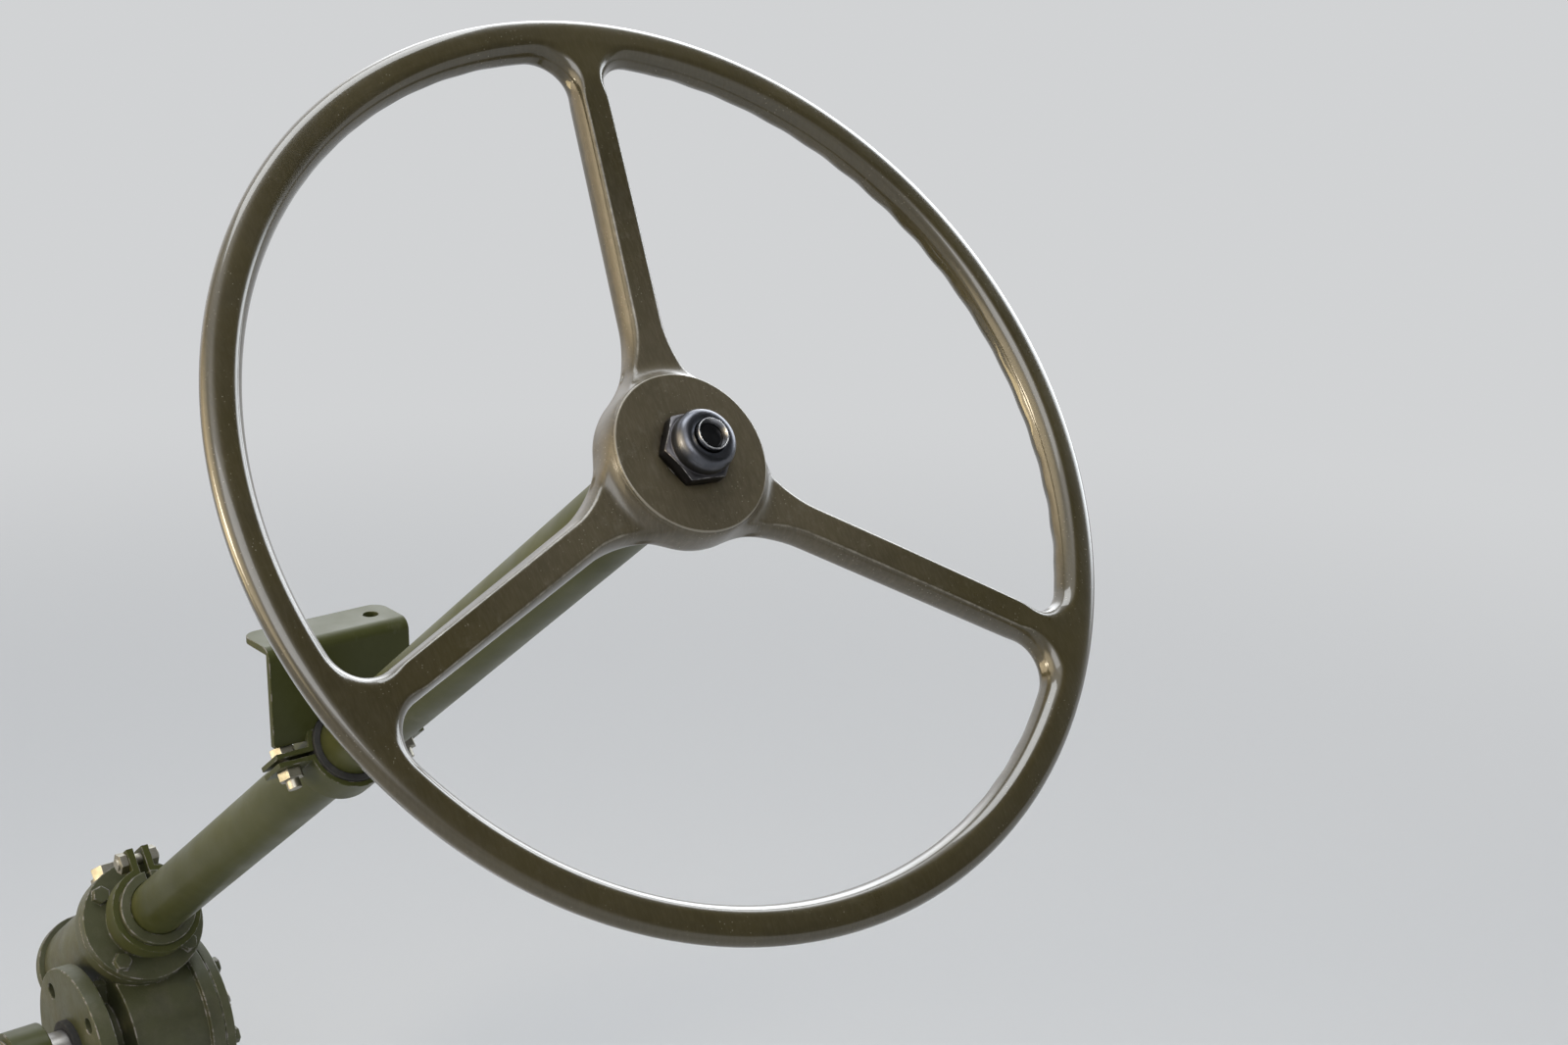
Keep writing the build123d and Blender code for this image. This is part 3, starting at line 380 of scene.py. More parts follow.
def build_mesh(name, sheets):
    """One mesh from sheets, each a dict of points (n, m, 3), edge (n, m) and, unless it
    is 1 everywhere, rubbed (n, m)."""
    vertices, quads, maps, edges, rubbed = [], [], [], [], []
    start = 0
    for sheet in sheets:
        points = sheet["points"]
        rows, columns = points.shape[:2]
        vertices.append(points.reshape(-1, 3))
        quads.append(sheet_faces(rows, columns, start))
        maps.append(sheet_map(points).reshape(-1, 2))
        edges.append(np.broadcast_to(sheet["edge"], (rows, columns)).ravel())
        rubbed.append(np.broadcast_to(sheet.get("rubbed", 1.0), (rows, columns)).ravel())
        start += rows * columns
    vertices = np.vstack(vertices)
    quads = np.vstack(quads)
    maps = np.vstack(maps)
    mesh = bpy.data.meshes.new(name)
    mesh.vertices.add(len(vertices))
    mesh.vertices.foreach_set("co", vertices.astype(np.float32).ravel())
    mesh.loops.add(quads.size)
    mesh.loops.foreach_set("vertex_index", quads.astype(np.int32).ravel())
    mesh.polygons.add(len(quads))
    mesh.polygons.foreach_set("loop_start", np.arange(0, quads.size, 4, dtype=np.int32))
    mesh.polygons.foreach_set("loop_total", np.full(len(quads), 4, np.int32))
    mesh.update(calc_edges=True)
    layer = mesh.uv_layers.new(name="lay")
    layer.data.foreach_set("uv", maps[quads.ravel()].astype(np.float32).ravel())
    for attribute, values in (("edge", edges), ("rubbed", rubbed)):
        layer = mesh.attributes.new(attribute, "FLOAT", "POINT")
        layer.data.foreach_set("value", np.concatenate(values).astype(np.float32))
    work = bmesh.new()
    work.from_mesh(mesh)
    bmesh.ops.remove_doubles(work, verts=work.verts, dist=MM * SAME_POINT)
    bmesh.ops.recalc_face_normals(work, faces=work.faces)
    work.to_mesh(mesh)
    work.free()
    mesh.polygons.foreach_set("use_smooth", np.ones(len(mesh.polygons), bool))
    mesh.update()
    return mesh


def add_piece(name, mesh, body, slot, solid, crease=None):
    """A finished piece: its mesh, the body that it rides on, the record's slot, whose
    finish it wears, and the solid that it stands for."""
    if crease is not None:
        mesh.set_sharp_from_angle(angle=radians(crease))
    piece = bpy.data.objects.new(name, mesh)
    bpy.context.scene.collection.objects.link(piece)
    mesh.materials.clear()
    mesh.materials.append(FINISHES[slot])
    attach(piece, body)
    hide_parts(solid)
    loops = np.zeros(len(mesh.loops), np.int32)
    mesh.loops.foreach_get("edge_index", loops)
    open_edges = np.count_nonzero(np.bincount(loops, minlength=len(mesh.edges)) != 2)
    print(f"{name}: {len(mesh.polygons)} faces, {open_edges} open edges")
    return piece


# %% [markdown]
# Many pieces are turned on a lathe, or as good as. Their surface is an outline of
# radius and height swept round an axis. A real turned edge is never perfectly sharp,
# so each corner of the outline takes a small arc of its own radius. The arc touches
# both of its straight sides, and its points are also marked as an edge for wear.

# %% Turned pieces


def rounded_outline(corners, steps=5):
    """Corners are (radius, height, rounding). Each corner with a rounding becomes an
    arc that is tangent to both sides; returns points and an edge value for each."""
    points, edge = [], []
    spots = np.array([corner[:2] for corner in corners], float)
    for index, here in enumerate(spots):
        rounding = corners[index][2]
        if rounding == 0 or index in (0, len(corners) - 1):
            points.append(here)
            edge.append(0.0)
            continue
        back, on = spots[index - 1] - here, spots[index + 1] - here
        back_unit, on_unit = back / np.linalg.norm(back), on / np.linalg.norm(on)
        half_angle = 0.5 * np.arccos(np.clip(back_unit @ on_unit, -1, 1))
        reach = rounding / tan(half_angle)
        limit = 0.48 * min(np.linalg.norm(back), np.linalg.norm(on))
        radius = rounding * min(1.0, limit / reach)
        reach = min(reach, limit)
        bisector = back_unit + on_unit
        centre = here + bisector / np.linalg.norm(bisector) * radius / sin(half_angle)
        first = here + back_unit * reach - centre
        last = here + on_unit * reach - centre
        sweep = pi - 2 * half_angle
        for share in np.linspace(0, 1, steps):
            blend = sin((1 - share) * sweep) * first + sin(share * sweep) * last
            points.append(centre + blend / sin(sweep))
            edge.append(1.0 if 0 < share < 1 else 0.4)
    return np.array(points), np.array(edge)


def turned_sheet(corners, count, steps=5, wear=1.0):
    """An outline of radius and height swept once round the wheel's axis:
    x = r cos(a), y = r sin(a), z = h."""
    outline, edge = rounded_outline(corners, steps)
    angle = np.linspace(0, 2 * pi, count, endpoint=False)[:, None]
    radius, height = outline[None, :, 0], outline[None, :, 1]
    points = on_wheel(radius * np.cos(angle), radius * np.sin(angle), height)
    return {"points": points, "edge": wear * edge[None, :]}


# %% [markdown]
# Finishes. Each one is a Principled shader whose colour, roughness and fine relief
# come from noise in the object's own coordinates, so that nothing repeats and nothing
# slides when a piece turns. Lengths in a finish are in metres, and the scale of a noise
# says about how many of its waves go into one. A few helpers keep the work readable.

# %% Node helpers


class Finish:
    """A material with its node tree, and short ways to add the usual nodes."""

    def __init__(
        self, name, metallic=0.0, coat=0.0, coat_roughness=0.1, coat_index=1.5, specular=0.5
    ):
        self.material = bpy.data.materials.new(name)
        self.material.use_nodes = True
        self.tree = self.material.node_tree
        self.shader = self.tree.nodes["Principled BSDF"].inputs
        self.shader["Metallic"].default_value = metallic
        self.shader["Coat Weight"].default_value = coat
        self.shader["Coat Roughness"].default_value = coat_roughness
        self.shader["Coat IOR"].default_value = coat_index
        self.shader["Specular IOR Level"].default_value = specular
        self.place = self.node("ShaderNodeTexCoord")["Object"]

    def node(self, kind, inputs=None, **settings):
        """A new node's outputs."""
        return add_node(self.tree, kind, inputs, **settings).outputs

    def stretch(self, scale, source=None):
        """Coordinates scaled by three factors, for grain that runs one way."""
        inputs = {"Scale": scale, "Vector": source or self.place}
        return self.node("ShaderNodeMapping", inputs)["Vector"]

    def noise(self, scale, detail=4.0, rough=0.55, source=None):
        inputs = {"Scale": scale, "Vector": source or self.place}
        inputs |= {"Detail": detail, "Roughness": rough}
        return self.node("ShaderNodeTexNoise", inputs)["Fac"]

    def away(self, point):
        """Distance from a fixed point of the object."""
        inputs = {0: self.place, 1: point}
        return self.node("ShaderNodeVectorMath", inputs, operation="DISTANCE")["Value"]

    def cells(self, scale):
        """Distance to the nearest of many scattered points."""
        return self.node("ShaderNodeTexVoronoi", {"Scale": scale, "Vector": self.place})["Distance"]

    def attribute(self, name):
        return self.node("ShaderNodeAttribute", attribute_name=name)["Fac"]

    def lay(self):
        return self.node("ShaderNodeUVMap", uv_map="lay")["UV"]

    def ramp(self, source, low, high):
        """A value turned into a colour, or grey: low and high are (place, colour)."""
        ramp = add_node(self.tree, "ShaderNodeValToRGB", {"Fac": source})
        for element, (place, colour) in zip(ramp.color_ramp.elements, (low, high)):
            element.position = place
            element.color = (*colour, 1) if isinstance(colour, tuple) else (*[colour] * 3, 1)
        return ramp.outputs["Color"]

    def patches(self, scale, detail, rough, low, high):
        """Noise cut to patches: nothing below one of its values, full above another."""
        return self.ramp(self.noise(scale, detail, rough), (low, 0.0), (high, 1.0))

    def wear(self, scale, detail, rough=0.55):
        """How much of an edge a point is, broken up by noise."""
        return self.math("MULTIPLY", self.attribute("edge"), self.noise(scale, detail, rough))

    def span(self, source, low, high, out_low, out_high):
        """A value's range moved to another range."""
        inputs = {"Value": source, "From Min": low, "From Max": high}
        inputs |= {"To Min": out_low, "To Max": out_high}
        return self.node("ShaderNodeMapRange", inputs)["Result"]

    def math(self, operation, a, b):
        return self.node("ShaderNodeMath", {0: a, 1: b}, operation=operation)["Value"]

    def mix(self, share, a, b):
        """Colour b over colour a, by a share from 0 to 1."""
        return self.node("ShaderNodeMix", {0: share, 6: a, 7: b}, data_type="RGBA")[2]

    def relief(self, height, distance, strength, below=None):
        """Bump from a height, laid over another relief if one is given."""
        inputs = {"Height": height, "Distance": distance, "Strength": strength}
        if below is not None:
            inputs["Normal"] = below
        return self.node("ShaderNodeBump", inputs)["Normal"]

    def finish(self, colour, roughness, normal):
        feed(self.tree, self.shader["Base Color"], colour)
        feed(self.tree, self.shader["Roughness"], roughness)
        feed(self.tree, self.shader["Normal"], normal)
        return self.material


# %% [markdown]
# The wheel is moulded in a dark olive-brown compound and polished by hands. It shines
# softly, with fine dry scratches, tiny light specks and a few nicks on its edges. The
# lighter line round the hub disc's lip is partly wear and partly a painted highlight. The
# rim, which is held all day, is darker, and the hub is drier and paler.

# %% Wheel moulding finish


def moulding_finish():
    f = Finish("wheel_moulding", specular=0.32, coat_index=1.65)
    tone = f.noise(11.0, 6.0, 0.6)
    colour = f.ramp(tone, (0.30, (0.040, 0.031, 0.010)), (0.72, (0.066, 0.052, 0.019)))
    away = f.away(tuple(WHEEL_CENTRE))
    dry = f.span(away, 0.045, 0.150, 0.55, 0.0)
    colour = f.mix(dry, colour, (0.115, 0.095, 0.062))
    clouds = f.span(f.noise(38.0, 5.0, 0.65), 0.48, 0.72, 0.0, 0.40)
    colour = f.mix(clouds, colour, (0.040, 0.033, 0.017))
    grain = f.noise(1.0, 3.0, 0.55, f.stretch((900.0, 150.0, 220.0)))
    streak = f.span(grain, 0.42, 0.72, 0.0, 1.0)
    streak = f.math("MULTIPLY", streak, f.span(away, 0.045, 0.170, 0.38, 0.12))
    colour = f.mix(streak, colour, (0.140, 0.112, 0.074))
    scuff = f.patches(95.0, 5.0, 0.72, 0.58, 0.70)
    scuff = f.math("MULTIPLY", scuff, f.span(away, 0.120, 0.205, 0.16, 0.06))
    colour = f.mix(scuff, colour, (0.22, 0.195, 0.15))
    specks = f.ramp(f.cells(470.0), (0.05, 1.0), (0.16, 0.0))
    speck_zone = f.ramp(f.noise(48.0, 3.0), (0.47, 0.0), (0.60, 0.85))
    colour = f.mix(f.math("MULTIPLY", specks, speck_zone), colour, (0.30, 0.27, 0.20))
    # Lighter colour on edges, broken by noise: wear, and on the hub disc's lip, whose edge values
    # pass 1, also a painted highlight line.
    worn = f.span(f.wear(140.0, 4.0, 0.7), 0.34, 0.62, 0.0, 0.70)
    colour = f.mix(worn, colour, (0.30, 0.27, 0.21))
    smear = f.noise(26.0, 6.0, 0.65)
    roughness = f.span(smear, 0.3, 0.75, 0.26, 0.42)
    feed(f.tree, f.shader["Coat Weight"], f.span(away, 0.050, 0.205, 0.40, 0.80))
    feed(f.tree, f.shader["Coat Roughness"], f.span(away, 0.050, 0.190, 0.18, 0.07))
    scratch = f.noise(1.0, 2.0, 0.5, f.stretch((1600.0, 260.0, 900.0)))
    fine = f.relief(scratch, 0.00004, 0.08)
    dents = f.ramp(f.cells(110.0), (0.03, 0.0), (0.11, 1.0))
    return f.finish(colour, roughness, f.relief(dents, 0.00010, 0.12, fine))


MOULDING = moulding_finish()
print("finish:", MOULDING.name)

# %% [markdown]
# The nut, the collar and the shafts are bare steel. On a lathe the tool leaves fine
# rings, so those finishes stretch their grain round the piece by its own map. Where a
# piece's bright share is low the steel goes near-black: all over the nut's hexagon, as
# painted shade at the barrel's foot where it meets the hexagon, and as painted shade in
# the collar's mouth. Handling keeps the edges bright.

# %% Steel finishes


def turned_steel(name, dark, bright, roughness, edge_bright):
    f = Finish(name, metallic=1.0)
    stain = f.noise(110.0, 5.0, 0.6)
    colour = f.ramp(stain, (0.32, dark), (0.70, bright))
    # Near-black where the bright share is low: painted shade in the collar's mouth and at the
    # barrel's foot, and the nut's hexagon all over.
    colour = f.mix(f.attribute("rubbed"), (0.056, 0.054, 0.057), colour)
    colour = f.mix(f.span(f.wear(420.0, 3.0), 0.30, 0.60, 0.0, 1.0), colour, edge_bright)
    rings = f.noise(1.0, 3.0, 0.5, f.stretch((60.0, 9000.0, 1.0), f.lay()))
    rough = f.span(stain, 0.3, 0.7, roughness + 0.10, roughness)
    rough = f.math("ADD", rough, f.span(rings, 0.3, 0.7, -0.03, 0.05))
    return f.finish(colour, rough, f.relief(rings, 0.00002, 0.5))


def plain_steel(name, dark, bright, roughness):
    f = Finish(name, metallic=1.0)
    stain = f.noise(80.0, 6.0, 0.65)
    colour = f.ramp(stain, (0.30, dark), (0.72, bright))
    pits = f.noise(900.0, 3.0, 0.6)
    rough = f.span(stain, 0.3, 0.7, roughness + 0.12, roughness - 0.04)
    return f.finish(colour, rough, f.relief(pits, 0.00003, 0.4))


DARK_STEEL = turned_steel(
    "dark_steel", (0.070, 0.074, 0.086), (0.130, 0.134, 0.150), 0.27, (0.46, 0.45, 0.44)
)
BRIGHT_STEEL = turned_steel(
    "bright_steel", (0.28, 0.29, 0.31), (0.52, 0.53, 0.55), 0.20, (0.75, 0.75, 0.75)
)
BARE_STEEL = plain_steel("bare_steel", (0.26, 0.25, 0.24), (0.45, 0.44, 0.42), 0.34)
PLATED_STEEL = plain_steel("plated_steel", (0.22, 0.21, 0.17), (0.42, 0.40, 0.34), 0.42)

# %% [markdown]
# The column is painted in gloss olive drab, sprayed, with a faint orange-peel relief.
# The gear box wears the same paint over a rough sand casting, duller and with patches of
# dust and of dark grease.

# %% Paint finishes


def olive_paint():
    f = Finish("olive_paint", coat=0.06, coat_roughness=0.16, specular=0.18)
    tone = f.noise(7.0, 5.0)
    colour = f.ramp(tone, (0.30, (0.040, 0.043, 0.010)), (0.72, (0.063, 0.066, 0.018)))
    fade = f.span(f.noise(26.0, 6.0, 0.65), 0.45, 0.75, 0.0, 0.30)
    colour = f.mix(fade, colour, (0.092, 0.094, 0.042))
    scuff = f.math("MULTIPLY", f.patches(45.0, 8.0, 0.72, 0.60, 0.72), 0.30)
    colour = f.mix(scuff, colour, (0.13, 0.125, 0.08))
    worn = f.ramp(f.wear(120.0, 6.0, 0.75), (0.50, 0.0), (0.56, 1.0))
    colour = f.mix(worn, colour, (0.20, 0.185, 0.165))
    roughness = f.span(f.noise(30.0, 5.0), 0.3, 0.7, 0.34, 0.50)
    peel = f.noise(420.0, 2.0, 0.4)
    return f.finish(colour, roughness, f.relief(peel, 0.00005, 0.15))


def cast_paint():
    f = Finish("cast_paint", coat=0.08, coat_roughness=0.25, specular=0.4)
    tone = f.noise(14.0, 6.0, 0.62)
    colour = f.ramp(tone, (0.28, (0.042, 0.045, 0.017)), (0.74, (0.072, 0.073, 0.031)))
    dust = f.math("MULTIPLY", f.patches(34.0, 7.0, 0.7, 0.50, 0.78), 0.40)
    colour = f.mix(dust, colour, (0.15, 0.135, 0.095))
    grease = f.math("MULTIPLY", f.patches(9.0, 4.0, 0.6, 0.56, 0.70), 0.55)
    colour = f.mix(grease, colour, (0.022, 0.020, 0.014))
    worn = f.ramp(f.wear(140.0, 6.0, 0.75), (0.50, 0.0), (0.57, 1.0))
    colour = f.mix(worn, colour, (0.18, 0.165, 0.145))
    roughness = f.span(f.noise(60.0, 5.0), 0.3, 0.7, 0.42, 0.62)
    grain = f.relief(f.noise(520.0, 4.0, 0.6), 0.00028, 0.6)
    skin = f.noise(60.0, 3.0, 0.5)
    return f.finish(colour, roughness, f.relief(skin, 0.0007, 0.35, grain))


OLIVE_PAINT = olive_paint()
CAST_PAINT = cast_paint()

# %% [markdown]
# Rubber is nearly black, matte and slightly dusty. The horn button is a glossy black
# moulding with a few fine hairlines.

# %% Rubber and button finishes


def black_rubber():
    f = Finish("black_rubber", specular=0.35)
    dust = f.noise(70.0, 6.0, 0.65)
    colour = f.ramp(dust, (0.35, (0.016, 0.016, 0.016)), (0.75, (0.05, 0.048, 0.043)))
    roughness = f.span(f.noise(120.0, 4.0), 0.3, 0.7, 0.62, 0.82)
    return f.finish(colour, roughness, f.relief(f.noise(1400.0, 3.0), 0.00005, 0.5))


def button_finish():
    f = Finish("button_plastic", coat=0.6, coat_roughness=0.05)
    tone = f.noise(300.0, 5.0)
    colour = f.ramp(tone, (0.35, (0.003, 0.003, 0.004)), (0.75, (0.009, 0.009, 0.010)))
    roughness = f.span(f.noise(500.0, 4.0), 0.3, 0.7, 0.12, 0.24)
    hair = f.noise(1.0, 4.0, 0.6, f.stretch((6000.0, 400.0, 900.0)))
    return f.finish(colour, roughness, f.relief(hair, 0.00002, 0.3))


RUBBER = black_rubber()
BUTTON = button_finish()

FINISHES = {
    "wheel_moulding": MOULDING,
    "dark_steel": DARK_STEEL,
    "bright_steel": BRIGHT_STEEL,
    "bare_steel": BARE_STEEL,
    "plated_steel": PLATED_STEEL,
    "olive_paint": OLIVE_PAINT,
    "cast_paint": CAST_PAINT,
    "black_rubber": RUBBER,
    "button_plastic": BUTTON,
}
for entry in frame["record"]["subparts"]:
    mesh = frame["nodes"][entry["node"]].data
    mesh.materials.clear()
    mesh.materials.append(FINISHES[entry["material_slot"]])
print("finishes:", len(FINISHES))

# %% [markdown]
# The wheel is one moulding: a rim, three spokes that dish down to the hub, and a flat
# hub disc. Its plan has three openings with generously rounded corners. The skin is
# best worked out opening by opening: the edge of one opening is a closed loop of
# lines and arcs, and from each point of it the skin runs straight across the front
# face to the middle of the bar, and across the back to the same middle. Where two
# openings share a bar their skins meet on its centre line. This puts a row of faces
# along every edge, so the thin bright lines on the edges come out clean.

# %% Sizes of the wheel
RIM_INNER_R = 200.3
RIM_MIDDLE_R = 209.0
SPOKE_COUNT = 3
SPOKE_HALF_AT_CENTRE = 10.4     # half width of a spoke if it ran on to the centre
SPOKE_HALF_AT_RIM = 8.0
SPOKE_FACE_HALF = 5.3           # half width of the flat on a spoke
WEB_FILLET = 17.0
ROOT_FILLET = 54.0
HUB_EDGE_R = 40.0
HUB_RING_R = 38.2
HUB_FILLET_R = 10.0
HUB_FILLET_REACH = 9.42
FACE_DEPTH = 9.3                # spoke face below the rim's face, at the hub
FACE_END_R = 190.0
FACE_STEP = 0.35                # spoke face below the rim's face, at the rim
FACE_STEP_R = (202.0, 206.0)
SPOKE_BACK = -23.0              # height of a spoke's back at a radius of 60
SPOKE_BACK_RISE = 0.0583
HUB_HOLLOW = 3.3
RIM_BACK = -17.0
RIM_BACK_R = (178.0, 206.0)


def smooth_step(value, low, high):
    """0 below low, 1 above high, with a smooth S between: 3t^2 - 2t^3."""
    t = np.clip((value - low) / (high - low), 0, 1)
    return t * t * (3 - 2 * t)


def face_height(radius):
    """Height of the front face at a distance from the axis. The spokes sink towards
    the hub as (1-t)^1.3, and a hollow round, part of a circle, lifts them to the disc."""
    t = np.clip((radius - HUB_RING_R) / (FACE_END_R - HUB_RING_R), 0, 1)
    sunk = -FACE_DEPTH * (1 - t) ** 1.3
    step = -FACE_STEP * (1 - smooth_step(radius, *FACE_STEP_R))
    into = np.clip(HUB_FILLET_REACH - (radius - HUB_RING_R), 0, HUB_FILLET_REACH)
    lift = HUB_FILLET_R - np.sqrt(HUB_FILLET_R**2 - into**2)
    return sunk + step + lift


def back_height(radius):
    """Height of the back along the middle of a bar: it rises evenly along the spoke,
    from a shallow hollow at the hub, and sinks a little again to the rim's back."""
    spoke = SPOKE_BACK + SPOKE_BACK_RISE * (radius - 60.0)
    hub = HUB_HOLLOW * np.exp(-(((radius - HUB_RING_R) / 12.0) ** 2))
    rim = smooth_step(radius, *RIM_BACK_R)
    return (spoke + hub) * (1 - rim) + RIM_BACK * rim


print("spoke face at 50, 100, 175 mm:", face_height(np.array([50.0, 100.0, 175.0])).round(2))

# %% [markdown]
# The loop of one opening is symmetrical, so one half is worked out and mirrored. A
# fillet's centre lies at its own radius from the spoke's side, and at a known
# distance from the wheel's centre, which gives a quadratic for how far out it is.

# %% The edge of one opening
RIM_POINTS = 140
WEB_POINTS = (14, 12)
LINE_POINTS = 76
ROOT_POINTS = (34, 24)
HUB_POINTS = 26
ROOT_CROWD = 1.5        # the root's points draw together where the skins part


def arc_points(centre, radius, start, end, count, crowd=1.0):
    """Points and outward unit directions on an arc from angle start to end. With crowd
    above 1 the points draw together towards the end, below 1 towards the start."""
    share = np.linspace(0, 1, count)
    share = 1 - (1 - share) ** crowd if crowd >= 1 else share ** (1 / crowd)
    angle = start + (end - start) * share
    out = np.stack([np.cos(angle), np.sin(angle)], axis=1)
    return centre + radius * out, out


def fillet_centre(base, along, distance):
    """The point base + s * along whose distance from the origin is the one given:
    s = -b + sqrt(b^2 - |base|^2 + distance^2), with b = base . along."""
    b = base @ along
    return base + along * (-b + sqrt(b * b - base @ base + distance * distance))


def half_opening():
    """From the middle of the rim's arc, round the web, down the spoke, round the root
    to the middle of the hub's arc. Returns points, directions into the material."""
    half_angle = pi / SPOKE_COUNT
    middle = np.array([cos(half_angle), sin(half_angle)])
    towards_gap = np.array([middle[1], -middle[0]])
    narrowing = (SPOKE_HALF_AT_RIM - SPOKE_HALF_AT_CENTRE) / RIM_INNER_R
    along = middle + towards_gap * narrowing
    along /= np.linalg.norm(along)
    side = np.array([along[1], -along[0]])
    foot = towards_gap * SPOKE_HALF_AT_CENTRE
    web = fillet_centre(foot + side * WEB_FILLET, along, RIM_INNER_R - WEB_FILLET)
    root = fillet_centre(foot + side * ROOT_FILLET, along, HUB_EDGE_R + ROOT_FILLET)
    to_line = atan2(-side[1], -side[0])
    web_start = atan2(web[1], web[0])
    corner = middle * RIM_MIDDLE_R - web
    to_corner = atan2(corner[1], corner[0])
    hub_corner = middle * HUB_RING_R - root
    to_hub_corner = atan2(hub_corner[1], hub_corner[0]) % (2 * pi)
    root_end = atan2(-root[1], -root[0]) % (2 * pi)
    hub_angle = atan2(root[1], root[0])
    line_start = web - side * WEB_FILLET
    line_end = root - side * ROOT_FILLET
    share = np.linspace(0, 1, LINE_POINTS)[:, None]
    line = line_start + share * (line_end - line_start)
    origin = np.zeros(2)
    hub, hub_out = arc_points(origin, HUB_EDGE_R, hub_angle, 0, HUB_POINTS)
    stretches = [
        arc_points(origin, RIM_INNER_R, 0, web_start, RIM_POINTS),
        arc_points(web, WEB_FILLET, web_start, to_corner, WEB_POINTS[0]),
        arc_points(web, WEB_FILLET, to_corner, to_line, WEB_POINTS[1]),
        (line, np.broadcast_to(-side, line.shape)),
        arc_points(root, ROOT_FILLET, to_line, to_hub_corner, ROOT_POINTS[0], ROOT_CROWD),
        arc_points(root, ROOT_FILLET, to_hub_corner, root_end, ROOT_POINTS[1], 1 / ROOT_CROWD),
        (hub, -hub_out),
    ]
    points = [stretches[0][0]] + [stretch[0][1:] for stretch in stretches[1:]]
    outs = [stretches[0][1]] + [stretch[1][1:] for stretch in stretches[1:]]
    return np.vstack(points), np.vstack(outs)


def reach_to_middle(points, outs):
    """How far each point is from the middle of its bar, going straight in: the least
    of the distances to the rim's middle circle, the hub ring and the spoke's middle."""
    half_angle = pi / SPOKE_COUNT
    towards_gap = np.array([sin(half_angle), -cos(half_angle)])
    slope = outs @ towards_gap
    with np.errstate(divide="ignore", invalid="ignore"):
        to_line = np.where(slope < -1e-6, -(points @ towards_gap) / slope, np.inf)
        b = np.sum(points * outs, axis=1)
        square = np.sum(points * points, axis=1)
        to_rim = -b + np.sqrt(b * b - square + RIM_MIDDLE_R**2)
        inner = b * b - square + HUB_RING_R**2
        meets_ring = (inner > 0) & (b < 0)
        to_ring = np.where(meets_ring, -b - np.sqrt(np.maximum(inner, 0)), np.inf)
    return np.minimum(np.minimum(to_line, to_rim), to_ring)


half_points, half_outs = half_opening()
half_reach = reach_to_middle(half_points, half_outs)
flip = np.array([1.0, -1.0])
loop_points = np.vstack([half_points, (half_points * flip)[-2:0:-1]])
loop_outs = np.vstack([half_outs, (half_outs * flip)[-2:0:-1]])
loop_reach = np.concatenate([half_reach, half_reach[-2:0:-1]])
print("points round one opening:", len(loop_points))

# %% [markdown]
# Two cross sections say how the skin goes over an edge: one for a spoke and one for
# the rim. Each is a short table of how far in from the wall and how far down from the
# face. Along the loop the skin passes smoothly from one to the other. The rim's back
# inner side carries the grips for the fingers, a shallow wave round the rim that dies
# away at each spoke.

# %% Skin of the wheel
FRONT_SECTION = [
    # spoke inset, spoke drop, rim inset, rim drop
    (4.00, 0.00, 7.60, 0.00),
    (3.55, 0.06, 6.70, 0.10),
    (3.10, 0.22, 5.80, 0.34),
    (2.66, 0.50, 4.90, 0.74),
    (2.24, 0.92, 3.90, 1.38),
    (1.74, 1.66, 2.80, 2.35),
    (1.16, 2.90, 1.70, 3.85),
    (0.60, 4.60, 0.80, 5.90),
    (0.20, 6.80, 0.15, 8.60),
]
BACK_SECTION = [
    # spoke inset, spoke lift, rim inset, rim lift
    (0.05, 6.00, 0.10, 7.50),
    (0.15, 4.20, 0.60, 5.30),
    (0.75, 2.50, 1.60, 3.60),
    (1.80, 1.15, 3.00, 2.00),
    (3.10, 0.35, 5.00, 0.75),
    (4.60, 0.00, 7.30, 0.12),
]
# Places of the face's own rows, from the bar's middle (0) to its section (1).
FACE_SHARES = [0.0, 0.02, 0.05, 0.09, 0.14, 0.20, 0.28, 0.40, 0.58, 0.80]
BACK_SHARES = [0.68, 0.38, 0.15, 0.0]
SPOKE_TO_RIM_R = (176.0, 199.0)     # the spoke's section passes to the rim's between these
SHOULDER = (2.4, 4.4)               # least and greatest width of a spoke's shoulder
EDGE_ROWS = {1: 0.3, 2: 0.9, 3: 1.0, 4: 0.6}    # how much of an edge a front row is
EDGE_FROM_R = (42.0, 55.0)          # no wear within the first radius, full beyond the second
LESS_AT_RIM = 0.7                   # share of that wear which the rim does without
GRIPS = 60
GRIP_DEPTH = 0.75
GRIP_ROWS = [0.2, 0.5, 0.9, 1.0, 0.6, 0.2]      # how deep the grips go on each back row
GRIP_ENDS = (0.16, 0.24)            # radians from a spoke's middle


def between(first, last, share):
    """A value part of the way from the first to the last."""
    return first + share * (last - first)


def evened(loop, reach=6):
    """A closed row of values, each averaged with its neighbours by a Hann window."""
    window = np.hanning(2 * reach + 3)
    around = np.concatenate([loop[-reach:], loop, loop[:reach]])
    return np.convolve(around, window[1:-1] / window.sum(), "valid")


